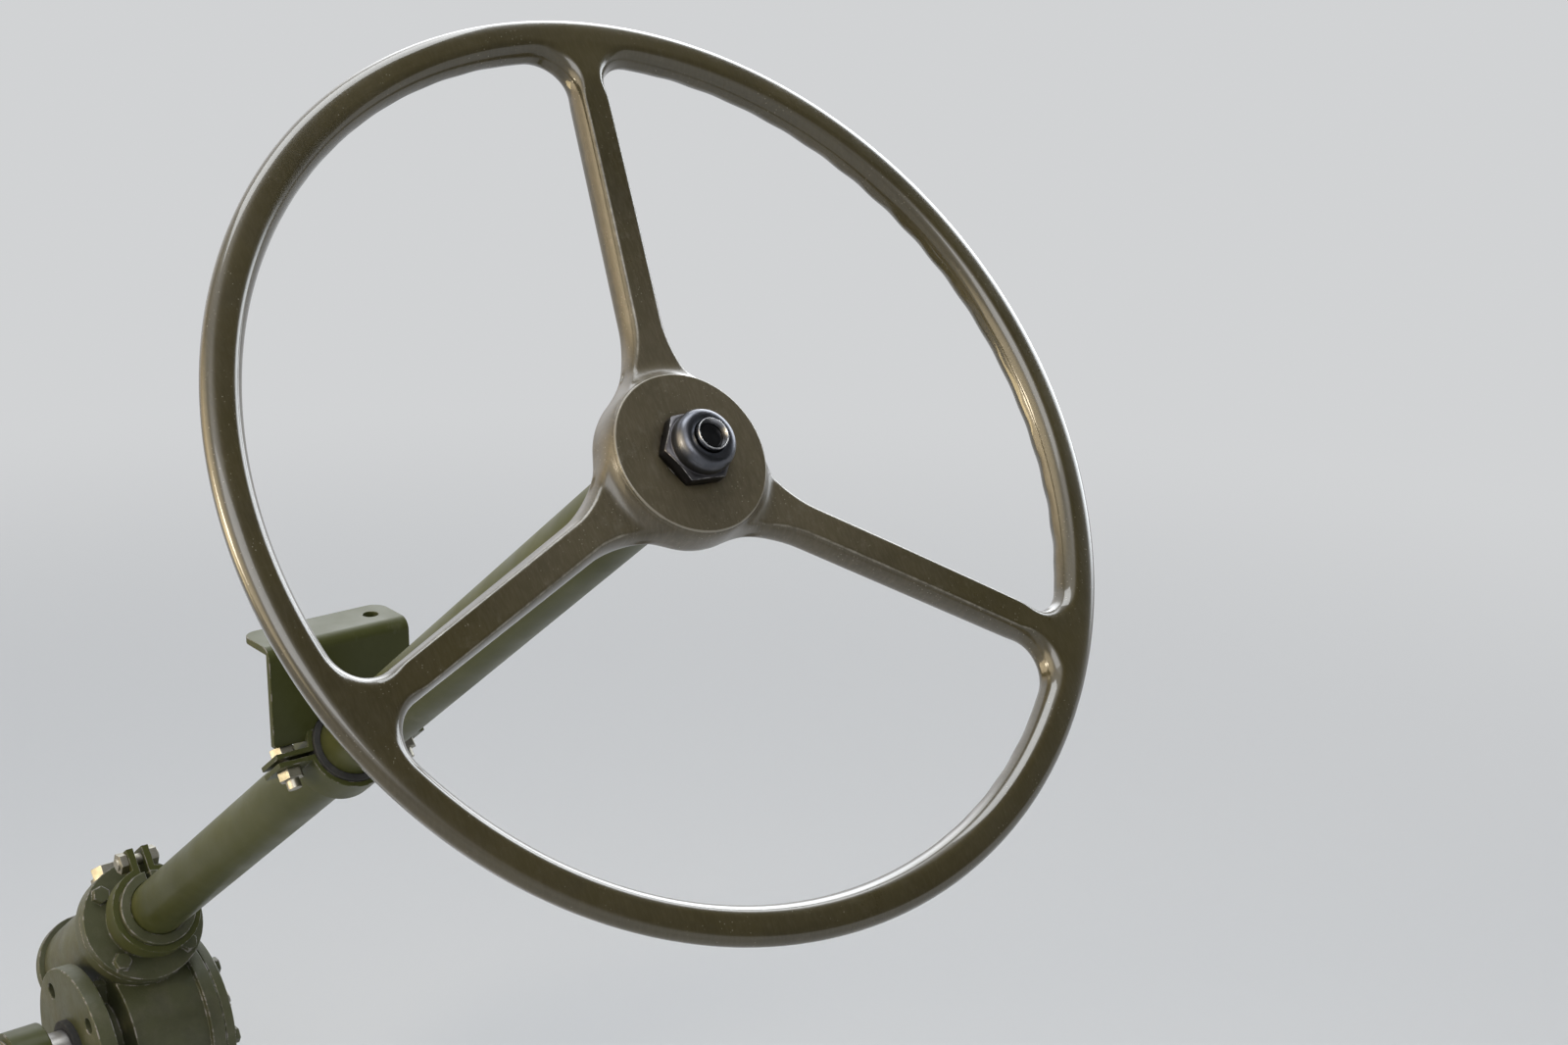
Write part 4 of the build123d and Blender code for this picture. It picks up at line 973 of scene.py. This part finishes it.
def opening_sheet(turn_angle):
    """The skin round one opening, from the front middle line over the edge to the
    back middle line, turned about the axis to its place."""
    radius = np.linalg.norm(loop_points, axis=1)
    angle = np.arctan2(loop_points[:, 1], loop_points[:, 0])
    at_rim = smooth_step(radius, *SPOKE_TO_RIM_R)[:, None]
    reach = loop_reach[:, None]
    front, back = np.array(FRONT_SECTION), np.array(BACK_SECTION)
    shoulder = np.minimum(np.clip(loop_reach - SPOKE_FACE_HALF, *SHOULDER), 0.9 * loop_reach)
    shoulder = np.minimum(evened(shoulder), 0.93 * loop_reach)[:, None] / front[0, 0]
    heel = np.minimum(1.0, 0.9 * reach / back[-1, 0])
    front_in = between(front[:, 0] * shoulder, front[:, 2], at_rim)
    front_drop = between(front[:, 1], front[:, 3], at_rim)
    back_in = between(back[:, 0] * heel, back[:, 2], at_rim)
    back_lift = between(back[:, 1], back[:, 3], at_rim)
    wave = (0.5 - 0.5 * np.cos(GRIPS * angle)) * (0.75 + 0.25 * np.sin(7 * angle + turn_angle))
    fade = at_rim[:, 0] * smooth_step(pi / SPOKE_COUNT - np.abs(angle), *GRIP_ENDS)
    back_in += GRIP_DEPTH * (wave * fade)[:, None] * np.array(GRIP_ROWS)
    shares, back_shares = np.array(FACE_SHARES), np.array(BACK_SHARES)
    face_in = reach * (1 - shares) + front_in[:, :1] * shares
    back_face_in = reach * (1 - back_shares) + back_in[:, -1:] * back_shares
    inset = np.hstack([face_in, front_in, back_in, back_face_in])
    plan = loop_points[:, None, :] + loop_outs[:, None, :] * inset[..., None]
    plan_radius = np.linalg.norm(plan, axis=-1)
    face_count = len(FACE_SHARES)
    front_count = face_count + front_in.shape[1]
    height = np.empty_like(plan_radius)
    height[:, :front_count] = face_height(plan_radius[:, :front_count])
    height[:, face_count:front_count] -= front_drop
    height[:, front_count:] = back_height(plan_radius[:, front_count:])
    height[:, front_count:front_count + back_in.shape[1]] += back_lift
    edge = np.zeros_like(plan_radius)
    off_hub = smooth_step(radius, *EDGE_FROM_R)
    for row, value in EDGE_ROWS.items():
        edge[:, face_count + row] = value * off_hub * (1 - LESS_AT_RIM * at_rim[:, 0])
    c, s = cos(turn_angle), sin(turn_angle)
    x = plan[..., 0] * c - plan[..., 1] * s
    y = plan[..., 0] * s + plan[..., 1] * c
    return {"points": on_wheel(x, y, height), "edge": edge, "border": (x[:, 0], y[:, 0])}


openings = [opening_sheet(pi / 6 + 2 * pi / SPOKE_COUNT * k) for k in range(SPOKE_COUNT)]


def ring_angles(radius):
    """Angles at which the openings' skins touch a circle, each once, in order."""
    found = []
    for opening in openings:
        x, y = opening["border"]
        hit = np.abs(np.hypot(x, y) - radius) < 1e-6
        found.append(np.arctan2(y[hit], x[hit]) % (2 * pi))
    return np.unique(np.round(np.concatenate(found), 9) % (2 * pi))


def ring_sheet(angles, table):
    """A section of radius and height swept round the axis at the given angles."""
    radius, height, edge = np.array(table, float).T[:, None, :]
    a = angles[:, None]
    return {"points": on_wheel(radius * np.cos(a), radius * np.sin(a), height), "edge": edge}


RIM_OUTER_SECTION = [
    # radius, height, edge
    (RIM_MIDDLE_R, 0.0, 0.0),
    (210.6, -0.02, 0.0),
    (212.2, -0.12, 0.0),
    (213.7, -0.34, 0.1),
    (215.0, -0.68, 0.3),
    (216.2, -1.18, 0.5),
    (217.2, -1.85, 0.5),
    (218.0, -2.70, 0.3),
    (218.6, -3.75, 0.0),
    (218.9, -4.90, 0.0),
    (218.7, -6.30, 0.0),
    (217.9, -8.60, 0.0),
    (216.9, -11.0, 0.0),
    (215.4, -13.5, 0.0),
    (213.4, -15.5, 0.0),
    (211.2, -16.7, 0.0),
    (RIM_MIDDLE_R, back_height(np.array(RIM_MIDDLE_R)), 0.0),
]
HUB_TOP = -1.5
CORE_R = 15.43
SKIRT_R = 22.03
SKIRT_TOP = -30.4
HUB_FOOT = -38.5
HUB_SECTION = [
    # radius, height, edge
    (HUB_RING_R, face_height(np.array(HUB_RING_R)), 0.0),
    (37.98, -2.88, 0.0),
    (37.86, -2.62, 0.0),
    # The lip's edge values, up to 1.8, make the lighter worn colour an unbroken line round the
    # disc: partly wear, partly a painted highlight.
    (37.77, -2.28, 0.8),
    (37.66, -1.95, 1.6),
    (37.49, -1.71, 1.8),
    (37.22, -1.55, 1.5),
    (36.86, HUB_TOP, 0.4),
    (36.30, HUB_TOP, 0.0),
    (33.0, HUB_TOP, 0.0),
    (27.0, HUB_TOP, 0.0),
    (21.0, HUB_TOP, 0.0),
    (CORE_R + 0.4, HUB_TOP, 0.0),
    (CORE_R, HUB_TOP - 0.4, 0.5),
    (CORE_R, SKIRT_TOP, 0.0),
    (SKIRT_R, SKIRT_TOP, 0.0),
    (SKIRT_R, HUB_FOOT + 0.5, 0.0),
    (SKIRT_R + 0.5, HUB_FOOT, 0.3),
    (27.6, HUB_FOOT, 0.0),
    (28.5, HUB_FOOT + 0.4, 0.3),
    (29.0, HUB_FOOT + 1.4, 0.0),
    (29.8, -32.0, 0.0),
    (30.5, -28.6, 0.0),
    (31.6, -26.0, 0.0),
    (33.2, -23.9, 0.0),
    (35.4, -22.4, 0.0),
    (37.2, -21.6, 0.0),
    (HUB_RING_R, back_height(np.array(HUB_RING_R)), 0.0),
]
wheel_sheets = openings + [
    ring_sheet(ring_angles(RIM_MIDDLE_R), RIM_OUTER_SECTION),
    ring_sheet(ring_angles(HUB_RING_R), HUB_SECTION),
]


def add_to_wheel(name, sheets, slot, solid):
    """A piece of sheets that turns with the wheel and stands for one solid."""
    add_piece(name, build_mesh(name, sheets), "wheel_and_shaft", slot, solid)


add_to_wheel("wheel_moulding", wheel_sheets, "wheel_moulding", "steering_wheel")

# %% [markdown]
# The wheel nut starts as a hexagon with a small chamfer and runs up into a round
# barrel that closes in a smooth dome, nearly a quarter ellipse, round the collar. The
# hexagon's radius at an angle is the flat's distance divided by the cosine to the
# nearest flat; its corners are softened by a power mean with the circle that the
# chamfer leaves.

# %% Wheel nut
NUT_FLATS = 31.0
NUT_HEX_TOP = 6.1
NUT_BORE_R = 9.53
BARREL_R = 14.7
BARREL_FOOT_R = BARREL_R - 0.45
DOME_FOOT = 9.4
DOME_POWER = 0.88               # 1 would be a plain ellipse
NUT_TOP = 15.6
COLLAR_R = 7.4
COLLAR_SEAT = 12.0
COLLAR_FLOOR = 13.2
COLLAR_TOP = 18.5
COLLAR_INNER_R = 5.8
BUTTON_R = COLLAR_INNER_R - 0.05
BUTTON_FOOT = 13.25
BUTTON_TOP = 16.2
NUT_TURN = radians(26.4)        # how far the nut stands from the top spoke
NUT_COUNT = 240                 # points once round


def hexagon_radius(angle, flats, corner=0.30):
    """Distance to a hexagon's side at an angle, with its corners rounded off."""
    nearest = (angle + pi / 6) % (pi / 3) - pi / 6
    sharp = flats / 2 / np.cos(nearest)
    limit = flats / 2 / cos(pi / 6) - corner
    return (sharp**-24 + limit**-24 * 0.35) ** (-1 / 24)


def hex_sheet(flats, foot, top, inner_r, turn_angle, count):
    """A hexagonal prism's foot, sides and chamfered end. The end sinks towards the
    corners in proportion to how far a point is outside the inscribed circle."""
    angle = np.linspace(0, 2 * pi, count, endpoint=False)
    outer = hexagon_radius(angle + turn_angle, flats)
    out = np.maximum(outer - (flats / 2 - 0.7), 0) * tan(radians(30))
    even = np.ones(count)
    rows = [
        # radius, height, edge
        (even * inner_r, even * foot, 0.0),
        (outer - 0.25, even * foot, 0.0),
        (outer, even * (foot + 0.25), 0.4),
        (outer, even * (foot + 0.4 * (top - foot)), 0.0),
        (outer, top - (out + 0.35), 0.0),
        (outer - 0.10, top - (out + 0.12), 1.0),
        (outer - 0.30, top - np.maximum(out - 0.12, 0.02), 0.4),
        (np.minimum(outer - 0.6, flats / 2 - 0.5), even * top, 0.4),
        (even * inner_r, even * top, 0.0),
    ]
    radius, height = (np.stack([row[part] for row in rows], axis=1) for part in (0, 1))
    edge = np.array([row[2] for row in rows])[None, :]
    a = angle[:, None]
    points = on_wheel(radius * np.cos(a), radius * np.sin(a), height)
    # A bright share of 0: the whole hexagon takes the near-black steel colour.
    return {"points": points, "edge": edge, "rubbed": 0.0}


def dome_points(count=22):
    """The dome's outline, nearly a quarter ellipse: radius = foot + a (cos t)^p,
    height = shoulder + b (sin t)^p."""
    t = np.linspace(0, radians(87), count)
    foot = COLLAR_R + 2.2
    radius = foot + (BARREL_R - foot) * np.cos(t) ** DOME_POWER
    height = DOME_FOOT + (NUT_TOP - DOME_FOOT) * np.sin(t) ** DOME_POWER
    return [(r, h, 0.0) for r, h in zip(radius, height)]


barrel_outline = [
    (BARREL_FOOT_R, NUT_HEX_TOP, 0.0),
    (BARREL_R - 0.40, NUT_HEX_TOP + 0.45, 0.1),
    (BARREL_R, NUT_HEX_TOP + 0.70, 0.25),
    *dome_points(),
    (COLLAR_R + 0.9, NUT_TOP - 0.04, 0.0),
    (COLLAR_R + 0.42, NUT_TOP - 0.25, 0.0),
    (COLLAR_R + 0.30, NUT_TOP - 1.2, 0.0),
    (COLLAR_R + 0.03, NUT_TOP - 1.6, 0.0),
    (COLLAR_R + 0.03, COLLAR_SEAT, 0.0),
    (NUT_BORE_R, COLLAR_SEAT, 0.0),
    (NUT_BORE_R, HUB_TOP, 0.0),
]
nut_foot = [(NUT_BORE_R, HUB_TOP, 0.0), (BARREL_FOOT_R, HUB_TOP, 0.0)]
nut_sheets = [
    hex_sheet(NUT_FLATS, HUB_TOP, NUT_HEX_TOP, BARREL_FOOT_R, NUT_TURN, NUT_COUNT),
    turned_sheet(nut_foot, NUT_COUNT),
    turned_sheet(barrel_outline, NUT_COUNT, steps=13, wear=0.2),
]
barrel = nut_sheets[-1]
barrel_height = (barrel["points"] - WHEEL_CENTRE) @ UP_COLUMN / MM
# Painted shade: the barrel's bright share falls towards its foot, so it darkens to near-black where
# it meets the hexagon.
barrel["rubbed"] = 0.15 + 0.85 * smooth_step(barrel_height, NUT_HEX_TOP + 0.6, NUT_HEX_TOP + 5.0)
barrel["rubbed"][:, :2] = 0.0
add_to_wheel("wheel_nut_turned", nut_sheets, "dark_steel", "wheel_nut")

# %% [markdown]
# A bright collar stands in the nut's top. Its mouth narrows in a polished cone, darkened
# with painted shade, to the horn button, a black moulding that sits well below the lip.

# %% Collar
collar_outline = [
    (0, COLLAR_SEAT, 0.0),
    (COLLAR_R, COLLAR_SEAT, 0.0),
    (COLLAR_R, COLLAR_TOP, 0.35),
    (COLLAR_R - 0.45, COLLAR_TOP, 0.2),
    (COLLAR_INNER_R, COLLAR_TOP - 2.2, 0.4),
    (COLLAR_INNER_R, COLLAR_FLOOR, 0.0),
    (0, COLLAR_FLOOR, 0.0),
]
collar_sheet = turned_sheet(collar_outline, 128, steps=7)
# Painted shade: the polished cone inside the collar's mouth keeps only 0.12 of its bright share and
# shows near-black.
from_centre = collar_sheet["points"] - WHEEL_CENTRE
from_axis = from_centre - (from_centre @ UP_COLUMN)[..., None] * UP_COLUMN
in_the_mouth = np.linalg.norm(from_axis, axis=-1) < MM * (COLLAR_R - 0.55)
collar_sheet["rubbed"] = np.where(in_the_mouth, 0.12, 1.0)
add_to_wheel("horn_collar_turned", [collar_sheet], "bright_steel", "horn_collar")

# %% Horn button
button_outline = [
    (0, BUTTON_FOOT, 0.0),
    (BUTTON_R, BUTTON_FOOT, 0.0),
    (BUTTON_R, BUTTON_TOP - 0.6, 0.4),
    (5.0, BUTTON_TOP - 0.25, 1.0),
    (3.2, BUTTON_TOP - 0.06, 2.6),
    (0, BUTTON_TOP, 0.0),
]
button_sheet = turned_sheet(button_outline, 128, steps=7)
add_to_wheel("horn_button_domed", [button_sheet], "button_plastic", "horn_button")

# %% [markdown]
# The other solids already have the right shapes, but their edges are as sharp as a
# drawing's. Sand castings, pressed plates and bolt heads all have small rounds that
# catch the light. So each solid is copied, its coinciding points are merged and its
# flats joined, and every edge sharper than a limit gets a small round. The strips that
# the rounding makes are marked as edges, so that paint wears there first.

# %% Rounded copies of the solids
ROUNDED = {
    # solid: edge rounding in millimetres
    "gear_housing": 0.9,
    "upper_cover": 0.8,
    "lower_cover": 0.8,
    "side_cover": 0.8,
    "adjuster_screw": 0.25,
    "adjuster_locknut": 0.35,
    "filler_plug": 0.4,
    "column_jacket": 0.35,
    "top_bearing": 0.3,
    "jacket_clamp": 0.4,
    "clamp_bolt": 0.3,
    "dash_bracket": 0.45,
    "bracket_strap": 0.45,
    "bracket_bolt_left": 0.3,
    "bracket_bolt_right": 0.3,
    "bracket_sleeve": 0.5,
    "drop_arm": 1.0,
    "arm_nut": 0.4,
    "arm_washer": 0.25,
    "ball_stud": 0.3,
    "lever_shaft": 0.3,
    "hub_core": 0.3,
    "bearing_seat": 0.3,
    "shaft_seal": 0.3,
}
SAME_CORNER = 0.002         # corners nearer than this, in millimetres, become one
FLAT_WITHIN = radians(0.8)  # faces that differ by less are one flat
SHARP_FROM = radians(32)
CREASE = 40                 # degrees from which an edge still looks sharp


def rounded_copy(name, rounding):
    """A copy of a solid's mesh with whole flats and small rounds on its edges."""
    mesh = frame["nodes"][name].data.copy()
    mesh.name = name + "_rounded"
    work = bmesh.new()
    work.from_mesh(mesh)
    bmesh.ops.remove_doubles(work, verts=work.verts, dist=MM * SAME_CORNER)
    bmesh.ops.dissolve_limit(work, angle_limit=FLAT_WITHIN, verts=work.verts, edges=work.edges)
    inner = [edge for edge in work.edges if len(edge.link_faces) == 2]
    sharp = [edge for edge in inner if edge.calc_face_angle(0) > SHARP_FROM]
    made = bmesh.ops.bevel(
        work,
        geom=sharp,
        offset=MM * rounding,
        offset_type="OFFSET",
        segments=2,
        profile=0.5,
        affect="EDGES",
        clamp_overlap=False,
    )
    work.faces.index_update()
    rounds = [face.index for face in made["faces"] if face.is_valid]
    bmesh.ops.recalc_face_normals(work, faces=work.faces)
    work.to_mesh(mesh)
    work.free()
    everywhere = np.ones(len(mesh.polygons), np.float32)
    marks = np.zeros(len(mesh.polygons), np.float32)
    marks[rounds] = 1.0
    mesh.attributes.new("edge", "FLOAT", "FACE").data.foreach_set("value", marks)
    mesh.attributes.new("rubbed", "FLOAT", "FACE").data.foreach_set("value", everywhere)
    mesh.polygons.foreach_set("use_smooth", everywhere.astype(bool))
    return mesh


slot_of = {entry["node"]: entry["material_slot"] for entry in frame["record"]["subparts"]}
for name, rounding in ROUNDED.items():
    body = frame["nodes"][name]["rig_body"]
    mesh = rounded_copy(name, rounding)
    piece = add_piece(mesh.name, mesh, body, slot_of[name], name, crease=CREASE)
    even = piece.modifiers.new("even_shading", "WEIGHTED_NORMAL")
    even.keep_sharp = True
